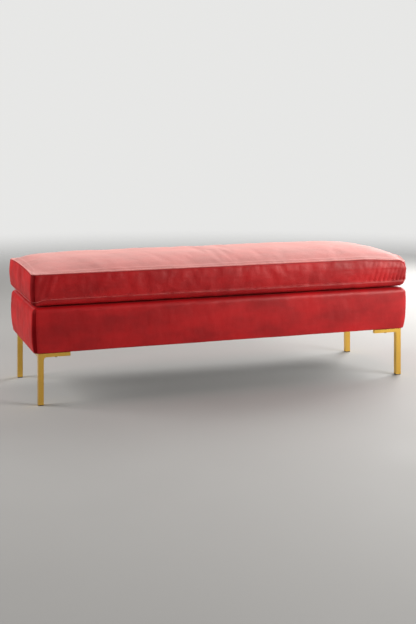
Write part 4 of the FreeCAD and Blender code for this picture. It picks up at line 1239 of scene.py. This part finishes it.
    def wrap(self, upper: bool) -> bpy.types.Object:
        """The upper or lower half of the fibre wrap, with room for the core and the zip."""
        inset, split = self.wrap_inset, self.zip_level
        core_low, core_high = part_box("cushion_core")
        gap, half_gap = self.wrap_gap, 0.0004
        long, deep, radius = core_high.x + gap, core_high.y + gap, 0.0125
        if upper:
            inner = [Ring(core_high.z + gap, long, deep, radius), Ring(split + half_gap, long, deep, radius)]
            boxing = self.outer_rings(inset, split + half_gap, self.seam_high - 0.3 * inset)
            form = SoftForm(inner + boxing + self.top_rings(inset), self.wrap_cells, Closing.BOTH,
                            self.crown(inset))
        else:
            inner = [Ring(split - half_gap, long, deep, radius), Ring(core_low.z - gap, long, deep, radius)]
            boxing = self.outer_rings(inset, self.seam_low, split - half_gap)
            form = SoftForm(self.under_rings(inset) + boxing + inner, self.wrap_cells)
        points = form.points
        x, y, z = np.abs(points[:, 0]), np.abs(points[:, 1]), points[:, 2]
        outside = (x > long + 0.003) | (y > deep + 0.003) | (z > core_high.z + 0.004)
        fluff = Ripples(self.wrap_fluff, 0.03, 0.12, 21 if upper else 22).over(points) * outside
        spread = points - np.array([0.0, 0.0, split])
        spread /= np.maximum(np.linalg.norm(spread, axis=1), 1e-6)[:, None]
        points = points - spread * np.abs(fluff)[:, None]
        x, y, z = points.T
        pocket = (y > 0) & (np.abs(z - split) < self.pocket_half_height)
        pocket &= np.abs(x) < self.pocket_half_length
        pocket_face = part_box("zip_slider")[0].y - 0.001
        points[:, 1] = np.where(pocket, np.minimum(y, pocket_face), y)
        points = self.lean(points)
        points[:, 0] += self.slip
        name = "cushion_fibre_upper" if upper else "cushion_fibre_lower"
        piece = make_piece(name, points, form.faces)
        seat(piece, "cushion", FIBRE, ("cushion_wrap_upper" if upper else "cushion_wrap_lower",))
        return piece

    def core(self) -> bpy.types.Object:
        """The foam core: a cut block with soft edges."""
        low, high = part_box("cushion_core")
        edge, turn = self.core_edge, 0.3 * self.core_edge
        rows = [(low.z, edge, 0.010), (low.z + turn, turn, 0.011)]
        rows += [(low.z + share * (high.z - low.z), 0.0, 0.012) for share in (0.06, 0.3, 0.5, 0.7, 0.94)]
        rows += [(high.z - turn, turn, 0.011), (high.z, edge, 0.010)]
        rings = [Ring(level, high.x - inward, high.y - inward, radius) for level, inward, radius in rows]
        form = SoftForm(rings, Cells(60, 20, 4))
        points = self.lean(form.points)
        points[:, 0] += self.slip
        piece = make_piece("cushion_foam_core", points, form.faces)
        seat(piece, "cushion", FOAM, ("cushion_core",))
        return piece

    def build(self) -> None:
        """Build the cushion from its core out."""
        self.core()
        self.wrap(upper=False)
        self.wrap(upper=True)
        self.cover()


# The padded base


@dataclass
class PaddedBase:
    """The tight velvet base with its deck, paddings, felt and dust cover.

    Attributes:
        half_length: Half its length at the bottom edge.
        half_depth: Half its depth at the bottom edge.
        bottom: The level of its bottom edge.
        top: The level of its deck.
        bulge: How far its sides lean out by the shoulder.
        shoulder: The radius of its top edge.
        corner_radius: The corners' radius in plan.
        edge_radius: The radius of its bottom edge.
        turn_under: How far the velvet turns under the rails.
        end_swell: How far the ends swell at their middle.
        cells: The cover's cells.
        side_steps: How many steps the sides have from the bottom edge to the shoulder.
    """

    half_length: float
    half_depth: float
    bottom: float
    top: float
    bulge: float = 0.006
    shoulder: float = 0.018
    corner_radius: float = 0.018
    edge_radius: float = 0.004
    turn_under: float = 0.045
    end_swell: float = 0.0045
    cells: Cells = Cells(180, 58, 8)
    side_steps: int = 19

    @classmethod
    def from_frame(cls) -> "PaddedBase":
        """Read the base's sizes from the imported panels."""
        front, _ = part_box("front_cover_panel")
        _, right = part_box("right_cover_panel")
        return cls(half_length=right.x - cls.bulge, half_depth=-front.y - cls.bulge,
                   bottom=front.z, top=right.z)

    def side_rings(self, inset: float) -> list[Ring]:
        """Rings from the bottom edge up the sides and round the shoulder, inside the cover by inset."""
        rings = []
        radius = self.corner_radius - inset
        shoulder_low = self.top - self.shoulder
        low = self.bottom + inset
        edge = self.edge_radius
        for angle in (0, 22, 45, 68, 90):
            inward = inset + edge * (1 - math.sin(math.radians(angle)))
            level = low + edge * (1 - math.cos(math.radians(angle)))
            rings.append(Ring(level, self.half_length - inward, self.half_depth - inward,
                              max(radius - inward, 0.006)))
        for step in range(1, self.side_steps):
            share = step / self.side_steps
            level = low + edge + (shoulder_low - low - edge) * share
            swell = self.bulge * math.sin(math.radians(90) * share) - inset
            rings.append(Ring(level, self.half_length + swell, self.half_depth + swell, radius))
        turn = self.shoulder - inset
        for angle in (0, 15, 30, 45, 60, 75, 90):
            inward = turn * (1 - math.cos(math.radians(angle)))
            swell = self.bulge - inset - inward
            level = shoulder_low + turn * math.sin(math.radians(angle))
            rings.append(Ring(level, self.half_length + swell, self.half_depth + swell,
                              max(radius - 0.5 * inward, 0.006)))
        return rings

    def cover(self) -> bpy.types.Object:
        """The velvet cover: turned under the rails, up the sides and over the deck's border."""
        under = [Ring(self.bottom, self.half_length - inward, self.half_depth - inward, 0.006)
                 for inward in (self.turn_under, 0.016)]
        _, deck_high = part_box("deck_cloth")
        start = self.bulge - self.shoulder
        reach = self.half_length + start - deck_high.x
        border = []
        for step in (0.010, 0.022, 0.036, reach - 0.009, reach - 0.006, reach - 0.003, reach - 0.0012, reach):
            border.append(Ring(self.top, self.half_length + start - step, self.half_depth + start - step,
                               0.006, min(reach - step, SEAM_REACH)))
        hem = Ring(self.top - 0.003, deck_high.x - 0.0008, deck_high.y - 0.0008, 0.005, 0.003)
        rings = [*under, *self.side_rings(0.0), *border, hem]
        form = SoftForm(rings, self.cells, Closing.OPEN)
        piece = make_piece("base_cover", form.points, form.faces)
        lay_nap(piece, self.top - 0.002)
        mark_seams(piece, form.seams)
        refine(piece)
        self.tailor(piece)
        seat(piece, "bench", (VELVET_SIDE, VELVET_SIDE, VELVET_END, VELVET_PAINTED_SHADE_CORNER),
             tuple(f"{side}_cover_panel" for side in ("front", "back", "left", "right")))
        return piece

    def tailor(self, piece: bpy.types.Object) -> None:
        """Sew the corners, and let the padding show as soft unevenness."""
        points, normals = read_points(piece), read_normals(piece)
        x, y, z = points.T
        share = np.clip((z - self.bottom) / (self.top - self.bottom), 0.0, 1.0)
        side = smooth_step(share, 0.0, 0.2) * smooth_step(share, 1.0, 0.86)
        broad = Ripples(0.0007, 0.09, 0.3, 31).over(points)
        close = Ripples(0.0003, 0.03, 0.07, 32).over(points)
        rise = side * (0.0004 + broad + close)
        at_end = smooth_step(np.abs(normals[:, 0]), 0.35, 0.9)
        rise += self.end_swell * np.sin(math.pi * share ** 0.75) * at_end
        corner_x, corner_y = self.half_length - self.corner_radius, self.half_depth - self.corner_radius
        past_x, past_y = np.abs(x) - corner_x, np.abs(y) - corner_y
        turn = np.arctan2(np.maximum(past_y, 0), np.maximum(past_x, 1e-6))
        at_corner = (past_x > 0) & (past_y > 0) & (z > self.bottom + 0.001)
        off = (turn - math.pi / 4) * self.corner_radius
        sewn = np.where(at_corner, BASE_CORNER_SEAM.over(np.abs(off)), 0.0)
        rise += sewn * smooth_step(z, self.bottom, self.bottom + 0.004)
        near = read_mark(piece, "seam_nearness")
        rise += np.where(near > 0, DECK_SEAM.over((1 - near) * SEAM_REACH), 0.0)
        points = points + normals * rise[:, None]
        sag = Ripples(0.0008, 0.10, 0.35, 33).over(points) + 0.0006
        lift = smooth_step(z, self.bottom + 0.012, self.bottom) * np.maximum(sag, 0.0)
        from_end = self.half_length - np.abs(x)
        points[:, 2] += 0.6 * lift * smooth_step(from_end, 0.01, 0.08)
        # the signed distance from a corner seam also places the velvet's painted shade on one side of it and
        # its rubbed pile with a painted highlight on the other
        seam = np.where(at_corner, off, read_mark(piece, "seam_side"))
        piece.data.attributes["seam_side"].data.foreach_set("value", seam.astype(np.float32))
        write_points(piece, points)

    def deck(self) -> bpy.types.Object:
        """The plain cloth in the middle of the deck, under the cushion."""
        _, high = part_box("deck_cloth")
        top, thickness, gap = self.top - 0.0006, 0.0009, 0.001
        rings = [Ring(level, high.x - gap, high.y - gap, 0.005) for level in (top - thickness, top)]
        form = SoftForm(rings, Cells(90, 24, 2))
        points = form.points
        sag = 0.0012 + Ripples(0.0008, 0.08, 0.3, 41).over(points)
        points[:, 2] -= slack(points, high, 0.06, 0.055) * sag
        piece = make_piece("deck_panel", points, form.faces)
        seat(piece, "bench", DECK_CLOTH, ("deck_cloth",))
        return piece

    def felt(self) -> None:
        """The felt that keeps the springs off the foam."""
        low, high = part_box("spring_felt")
        rings = [Ring(level, high.x, high.y, 0.014) for level in (low.z, high.z)]
        form = SoftForm(rings, Cells(70, 22, 4))
        form.points[:, 2] += Ripples(0.0003, 0.03, 0.1, 34).over(form.points)
        piece = make_piece("base_spring_felt", form.points, form.faces)
        seat(piece, "bench", FELT, ("spring_felt",))

    def deck_foam(self) -> None:
        """The foam over the springs, cut to the shoulder's round edge."""
        low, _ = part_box("deck_foam")
        rings = [ring for ring in self.side_rings(0.0030) if ring.level > low.z + 0.0005]
        first = rings[0]
        rings.insert(0, Ring(low.z + 0.0003, first.half_length, first.half_depth, first.radius))
        form = SoftForm(rings, Cells(70, 22, 4))
        piece = make_piece("base_deck_foam", form.points, form.faces)
        seat(piece, "bench", FOAM, ("deck_foam",))

    def side_paddings(self) -> None:
        """The wadding between the rails and the velvet: one strip on each side."""
        inset = 0.0024
        rail_low, rail_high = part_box("front_rail")
        long, deep = rail_high.x + 0.0003, -rail_low.y + 0.0003
        outer = [ring for ring in self.side_rings(inset)[4:] if ring.level < rail_high.z + 0.012]
        inner = [Ring(level, long, deep, 0.0153) for level in (self.bottom + 0.004, outer[-1].level)]
        rings = [inner[0], *outer, inner[1]]
        cells = Cells(90, 30, 4)
        form = SoftForm(rings, cells, Closing.LOOPED)
        starts = {"front": 0, "right": cells.across, "back": cells.across + cells.deep,
                  "left": 2 * cells.across + cells.deep}
        for side, first in starts.items():
            count = cells.across if side in ("front", "back") else cells.deep
            points, faces = form.sector(first, count)
            piece = make_piece(f"{side}_wadding", points, faces)
            seat(piece, "bench", FIBRE, (f"{side}_padding",))

    def dust_cover(self) -> bpy.types.Object:
        """The thin black cloth stapled under the rails, a little slack between its staples."""
        low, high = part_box("dust_cover")
        rings = [Ring(low.z, high.x, high.y, 0.008), Ring(low.z + 0.0005, high.x, high.y, 0.008)]
        form = SoftForm(rings, Cells(150, 48, 2))
        points = form.points
        sag = 0.0014 + Ripples(0.0012, 0.09, 0.35, 42).over(points)
        points[:, 2] -= slack(points, high, 0.08, 0.06) * sag
        piece = make_piece("underside_cloth", points, form.faces)
        seat(piece, "bench", DUST_CLOTH, ("dust_cover",))
        return piece

    def build(self) -> None:
        """Build the base from its frame out."""
        self.felt()
        self.deck_foam()
        self.side_paddings()
        self.dust_cover()
        self.deck()
        self.cover()


# The zip


@dataclass(frozen=True)
class BackZip:
    """The zip in the back of the cushion: coiled teeth on two woven tapes.

    Attributes:
        pitch: The distance from one tooth to the next.
        wire: The thickness of the nylon that the teeth are coiled from.
    """

    pitch: float = 0.0028
    wire: float = 0.0009

    def teeth(self, row: str) -> bpy.types.Object:
        """One row of teeth as repeats of a single rounded loop."""
        low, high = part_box(f"zip_teeth_{row}")
        middle = (low + high) / 2
        tall, thick = (high.z - low.z) / 2, (high.y - low.y) / 2
        corner = 0.35
        section = [(-1, -corner), (-1, corner), (-corner, 1), (corner, 1), (1, corner), (1, -corner),
                   (corner, -1), (-corner, -1)]
        points, faces = [], []
        for step, swell in ((0.0, 0.82), (0.3, 1.0), (0.7, 1.0), (1.0, 0.82)):
            for deep, up in section:
                points.append((low.x + step * self.wire, middle.y + deep * thick * swell,
                               middle.z + up * tall * swell))
        count = len(section)
        for ring in range(3):
            for side in range(count):
                following = (side + 1) % count
                faces.append((ring * count + side, ring * count + following,
                              (ring + 1) * count + following, (ring + 1) * count + side))
        faces.append(tuple(reversed(range(count))))
        faces.append(tuple(range(3 * count, 4 * count)))
        piece = make_piece(f"zip_coil_{row}", np.array(points), faces)
        array = piece.modifiers.new("row", "ARRAY")
        array.use_relative_offset = False
        array.use_constant_offset = True
        array.constant_offset_displace = (self.pitch, 0.0, 0.0)
        array.count = int((high.x - low.x) / self.pitch)
        seat(piece, "cushion", COIL, (f"zip_teeth_{row}",))
        return piece

    def tapes(self) -> None:
        """The two woven tapes beside the teeth."""
        low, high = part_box("zip_tapes")
        middle = (low.z + high.z) / 2
        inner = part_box("zip_teeth_upper")[1].z - middle
        for row, sign in (("upper", 1), ("lower", -1)):
            near, far = middle + sign * inner, middle + sign * (high.z - middle)
            columns, rows = 260, 4
            points, faces = [], []
            for back in (0.0, high.y - low.y):
                for i in range(columns + 1):
                    x = low.x + (high.x - low.x) * i / columns
                    wave = 0.00012 * math.sin(i * 0.9) + 0.0001 * math.sin(i * 0.37)
                    for j in range(rows + 1):
                        points.append((x, high.y - back - abs(wave), near + (far - near) * j / rows))
            layer = (columns + 1) * (rows + 1)
            for i in range(columns):
                for j in range(rows):
                    corner = i * (rows + 1) + j
                    quad = (corner, corner + 1, corner + rows + 2, corner + rows + 1)
                    faces.append(quad if sign > 0 else quad[::-1])
                    under = tuple(number + layer for number in quad)
                    faces.append(under[::-1] if sign > 0 else under)
            piece = make_piece(f"zip_tape_{row}", np.array(points), faces)
            seat(piece, "cushion", ZIP_TAPE, ("zip_tapes",))

    def build(self) -> None:
        """Build the zip's teeth and tapes."""
        for row in ("upper", "lower"):
            self.teeth(row)
        self.tapes()


# What is carried over from the frame


@dataclass(frozen=True)
class Carried:
    """CAD nodes that keep their shape and get a finish and softened edges.

    Attributes:
        finish: Their finish.
        nodes: Their names.
        edge: The radius of their edges, or 0 to leave them as they are.
    """

    finish: Finish
    nodes: tuple[str, ...]
    edge: float = 0.0

    def dress(self) -> None:
        """Give each node its finish and edges."""
        for name in self.nodes:
            node = frame["nodes"][name]
            node.data.materials.clear()
            node.data.materials.append(self.finish.material())
            if self.edge:
                self.soften(node)
            LOG.info("%s: %s", name, self.finish.name)

    def soften(self, node: bpy.types.Object) -> None:
        """Round a node's sharp edges with modifiers, which leave its own mesh alone."""
        weld = node.modifiers.new("weld", "WELD")
        weld.merge_threshold = 0.00002
        merge = node.modifiers.new("merge", "DECIMATE")
        merge.decimate_type = "DISSOLVE"
        merge.angle_limit = math.radians(1)
        bevel = node.modifiers.new("edges", "BEVEL")
        bevel.width = self.edge
        bevel.segments = 3
        bevel.limit_method = "ANGLE"
        bevel.angle_limit = math.radians(40)
        bevel.harden_normals = True
        bevel.use_clamp_overlap = True


CORNERS = ("front_left", "front_right", "rear_left", "rear_right")

CARRIED = (
    Carried(BRASS, tuple(f"leg_{corner}" for corner in CORNERS), 0.0009),
    Carried(NYLON, tuple(f"glide_{corner}" for corner in CORNERS), 0.0006),
    Carried(DARK_STEEL, ("leg_screws",), 0.0004),
    Carried(ZINC, ("leg_studs", "frame_screws", "staples", "spring_clips")),
    Carried(INSERT_BRASS, ("threaded_inserts",)),
    Carried(TIMBER, ("front_rail", "back_rail", "left_end_rail", "right_end_rail", "left_brace",
                     "right_brace", *(f"corner_block_{corner}" for corner in CORNERS)), 0.0015),
    Carried(SPRING_STEEL, tuple(f"seat_spring_{number}" for number in range(1, 9))),
    Carried(ZIP_METAL, ("zip_stops",), 0.0003),
    Carried(ZIP_METAL, ("zip_slider", "zip_pull"), 0.00035),
)


# The studio


@dataclass(frozen=True)
class Lamp:
    """A soft square lamp.

    Attributes:
        name: What it is for.
        place: Where it stands.
        target: What it points at.
        side: The length of its side.
        watts: Its power.
        colour: The colour of its light.
    """

    name: str
    place: tuple[float, float, float]
    target: tuple[float, float, float]
    side: float
    watts: float
    colour: Colour = (1.0, 1.0, 1.0)

    def build(self) -> None:
        """Put the lamp in the scene."""
        data = bpy.data.lights.new(self.name, "AREA")
        data.shape = "SQUARE"
        data.size = self.side
        data.energy = self.watts
        data.color = self.colour
        lamp = bpy.data.objects.new(self.name, data)
        lamp.location = self.place
        aim = Vector(self.target) - Vector(self.place)
        lamp.rotation_euler = aim.to_track_quat("-Z", "Y").to_euler()
        bpy.context.scene.collection.objects.link(lamp)


@dataclass(frozen=True)
class Studio:
    """A pale floor that fades into a pale backdrop, soft lamps and the photograph's camera.

    Attributes:
        backdrop: The colour that the camera sees behind everything.
        floor: The floor's colour.
        bright_side: The direction that the brightest even light comes from.
        world_low: The strength of the even light from the dark side.
        world_high: Its strength from the bright side.
        floor_radius: Where the floor ends.
        image_height: The height of the picture that the camera was fitted to, in pixels.
        horizon_row: The row of the horizon in it.
        focal_pixels: The camera's focal length in those pixels.
        camera_place: Where the camera stands.
        camera_turn: How far it is turned to the right, as a negative angle.
        lamps: The lamps.
    """

    backdrop: Colour = (0.80, 0.80, 0.79)
    floor: Colour = (0.40, 0.39, 0.375)
    bright_side: tuple[float, float, float] = (0.45, 0.25, 0.86)
    world_low: float = 0.03
    world_high: float = 0.22
    floor_radius: float = 9.0
    image_height: float = 624.0
    horizon_row: float = 120.34
    focal_pixels: float = 1079.57
    camera_place: tuple[float, float, float] = (-1.3391, -3.8234, 0.9579)
    camera_turn: float = -0.3353
    lamps: tuple[Lamp, ...] = (
        Lamp("window", (2.65, 1.53, 1.57), (0.0, 0.0, 0.33), 2.0, 142.0),
        Lamp("right_front", (2.5, -2.3, 1.3), (0.2, 0.0, 0.33), 1.6, 122.0),
        Lamp("left_end", (-3.01, 0.53, 1.57), (0.0, 0.0, 0.33), 2.0, 92.0),
    )

    def build(self) -> None:
        """Set up the whole studio."""
        bpy.context.scene.view_settings.view_transform = "Standard"
        self.add_world()
        self.add_floor()
        for lamp in self.lamps:
            lamp.build()
        self.add_camera()

    def add_world(self) -> None:
        """A pale surround: brighter from one side for light and mirrors, and plain for the camera."""
        world = bpy.data.worlds.new("surround")
        world.use_nodes = True
        bpy.context.scene.world = world
        graph = Graph(world.node_tree)
        light = world.node_tree.nodes["Background"]
        light.inputs["Color"].default_value = (1.0, 0.985, 0.97, 1.0)
        direction = graph.add("TexCoord").outputs["Generated"]
        product = graph.add("VectorMath", {0: direction, 1: self.bright_side}, operation="DOT_PRODUCT")
        towards = product.outputs["Value"]
        strength = graph.ease(towards, -0.5, 1.0, self.world_low, self.world_high)
        graph.feed(light.inputs["Strength"], strength)
        plain = graph.add("Background", {"Color": self.backdrop, "Strength": 1.0})
        mirrored = graph.add("Background", {"Color": self.backdrop})
        graph.feed(mirrored.inputs["Strength"], graph.ease(towards, -0.30, 0.85, 0.06, 0.95))
        path = graph.add("LightPath")
        glossy, through = path.outputs["Is Glossy Ray"], path.outputs["Is Transmission Ray"]
        reflected = graph.maths("MAXIMUM", glossy, through)
        mix = graph.add("MixShader", {0: reflected, 1: light.outputs[0], 2: mirrored.outputs[0]})
        seen = path.outputs["Is Camera Ray"]
        mix = graph.add("MixShader", {0: seen, 1: mix.outputs[0], 2: plain.outputs[0]})
        graph.fill(world.node_tree.nodes["World Output"], {"Surface": mix.outputs[0]})

    def add_floor(self) -> None:
        """A round pale floor whose rim fades out."""
        count = 96
        rings = (0.0, 1.5, 4.0, self.floor_radius)
        points = [(0.0, 0.0, 0.0)]
        for radius in rings[1:]:
            for number in range(count):
                angle = 2 * math.pi * number / count
                points.append((radius * math.cos(angle), radius * math.sin(angle), 0.0))
        faces = []
        for number in range(count):
            following = (number + 1) % count
            faces.append((0, 1 + number, 1 + following))
            for ring in range(len(rings) - 2):
                low, high = 1 + ring * count, 1 + (ring + 1) * count
                faces.append((low + number, high + number, high + following, low + following))
        floor = make_piece("studio_floor", np.array(points), faces)
        graph, shader, place = new_material("studio_floor")
        mottle = graph.noise(place, 3.0, 4.0, 0.55)
        pale = tuple(min(1.0, 1.03 * part) for part in self.floor)
        graph.fill(shader, {
            "Base Color": graph.blend(graph.ease(mottle, 0.3, 0.7), self.floor, pale),
            "Roughness": graph.ease(mottle, 0.3, 0.7, 0.75, 0.9),
            "Specular IOR Level": 0.2,
        })
        reach = graph.add("VectorMath", {0: place}, operation="LENGTH").outputs["Value"]
        clear = graph.ease(reach, 2.2, 5.5)
        gone = graph.add("BsdfTransparent")
        mix = graph.add("MixShader", {0: clear, 1: shader.outputs[0], 2: gone.outputs[0]})
        graph.fill(graph.tree.nodes["Material Output"], {"Surface": mix.outputs[0]})
        floor.data.materials.append(bpy.data.materials["studio_floor"])

    def add_camera(self) -> None:
        """The photograph's camera: level, with its picture shifted down to the bench."""
        data = bpy.data.cameras.new("photograph")
        data.sensor_fit = "AUTO"
        data.sensor_width = 36.0
        data.lens = self.focal_pixels * data.sensor_width / self.image_height
        data.shift_y = -(self.image_height / 2 - self.horizon_row) / self.image_height
        data.clip_end = 60.0
        camera = bpy.data.objects.new("photograph", data)
        camera.location = self.camera_place
        camera.rotation_euler = (math.pi / 2, 0.0, self.camera_turn)
        bpy.context.scene.collection.objects.link(camera)
        bpy.context.scene.camera = camera


def main() -> None:
    """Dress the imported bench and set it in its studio."""
    logging.basicConfig(level=logging.INFO, format="%(name)s %(message)s")
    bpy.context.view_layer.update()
    for group in CARRIED:
        group.dress()
    PaddedBase.from_frame().build()
    LooseCushion.from_frame().build()
    BackZip().build()
    Studio().build()


if __name__ == "__main__":
    main()
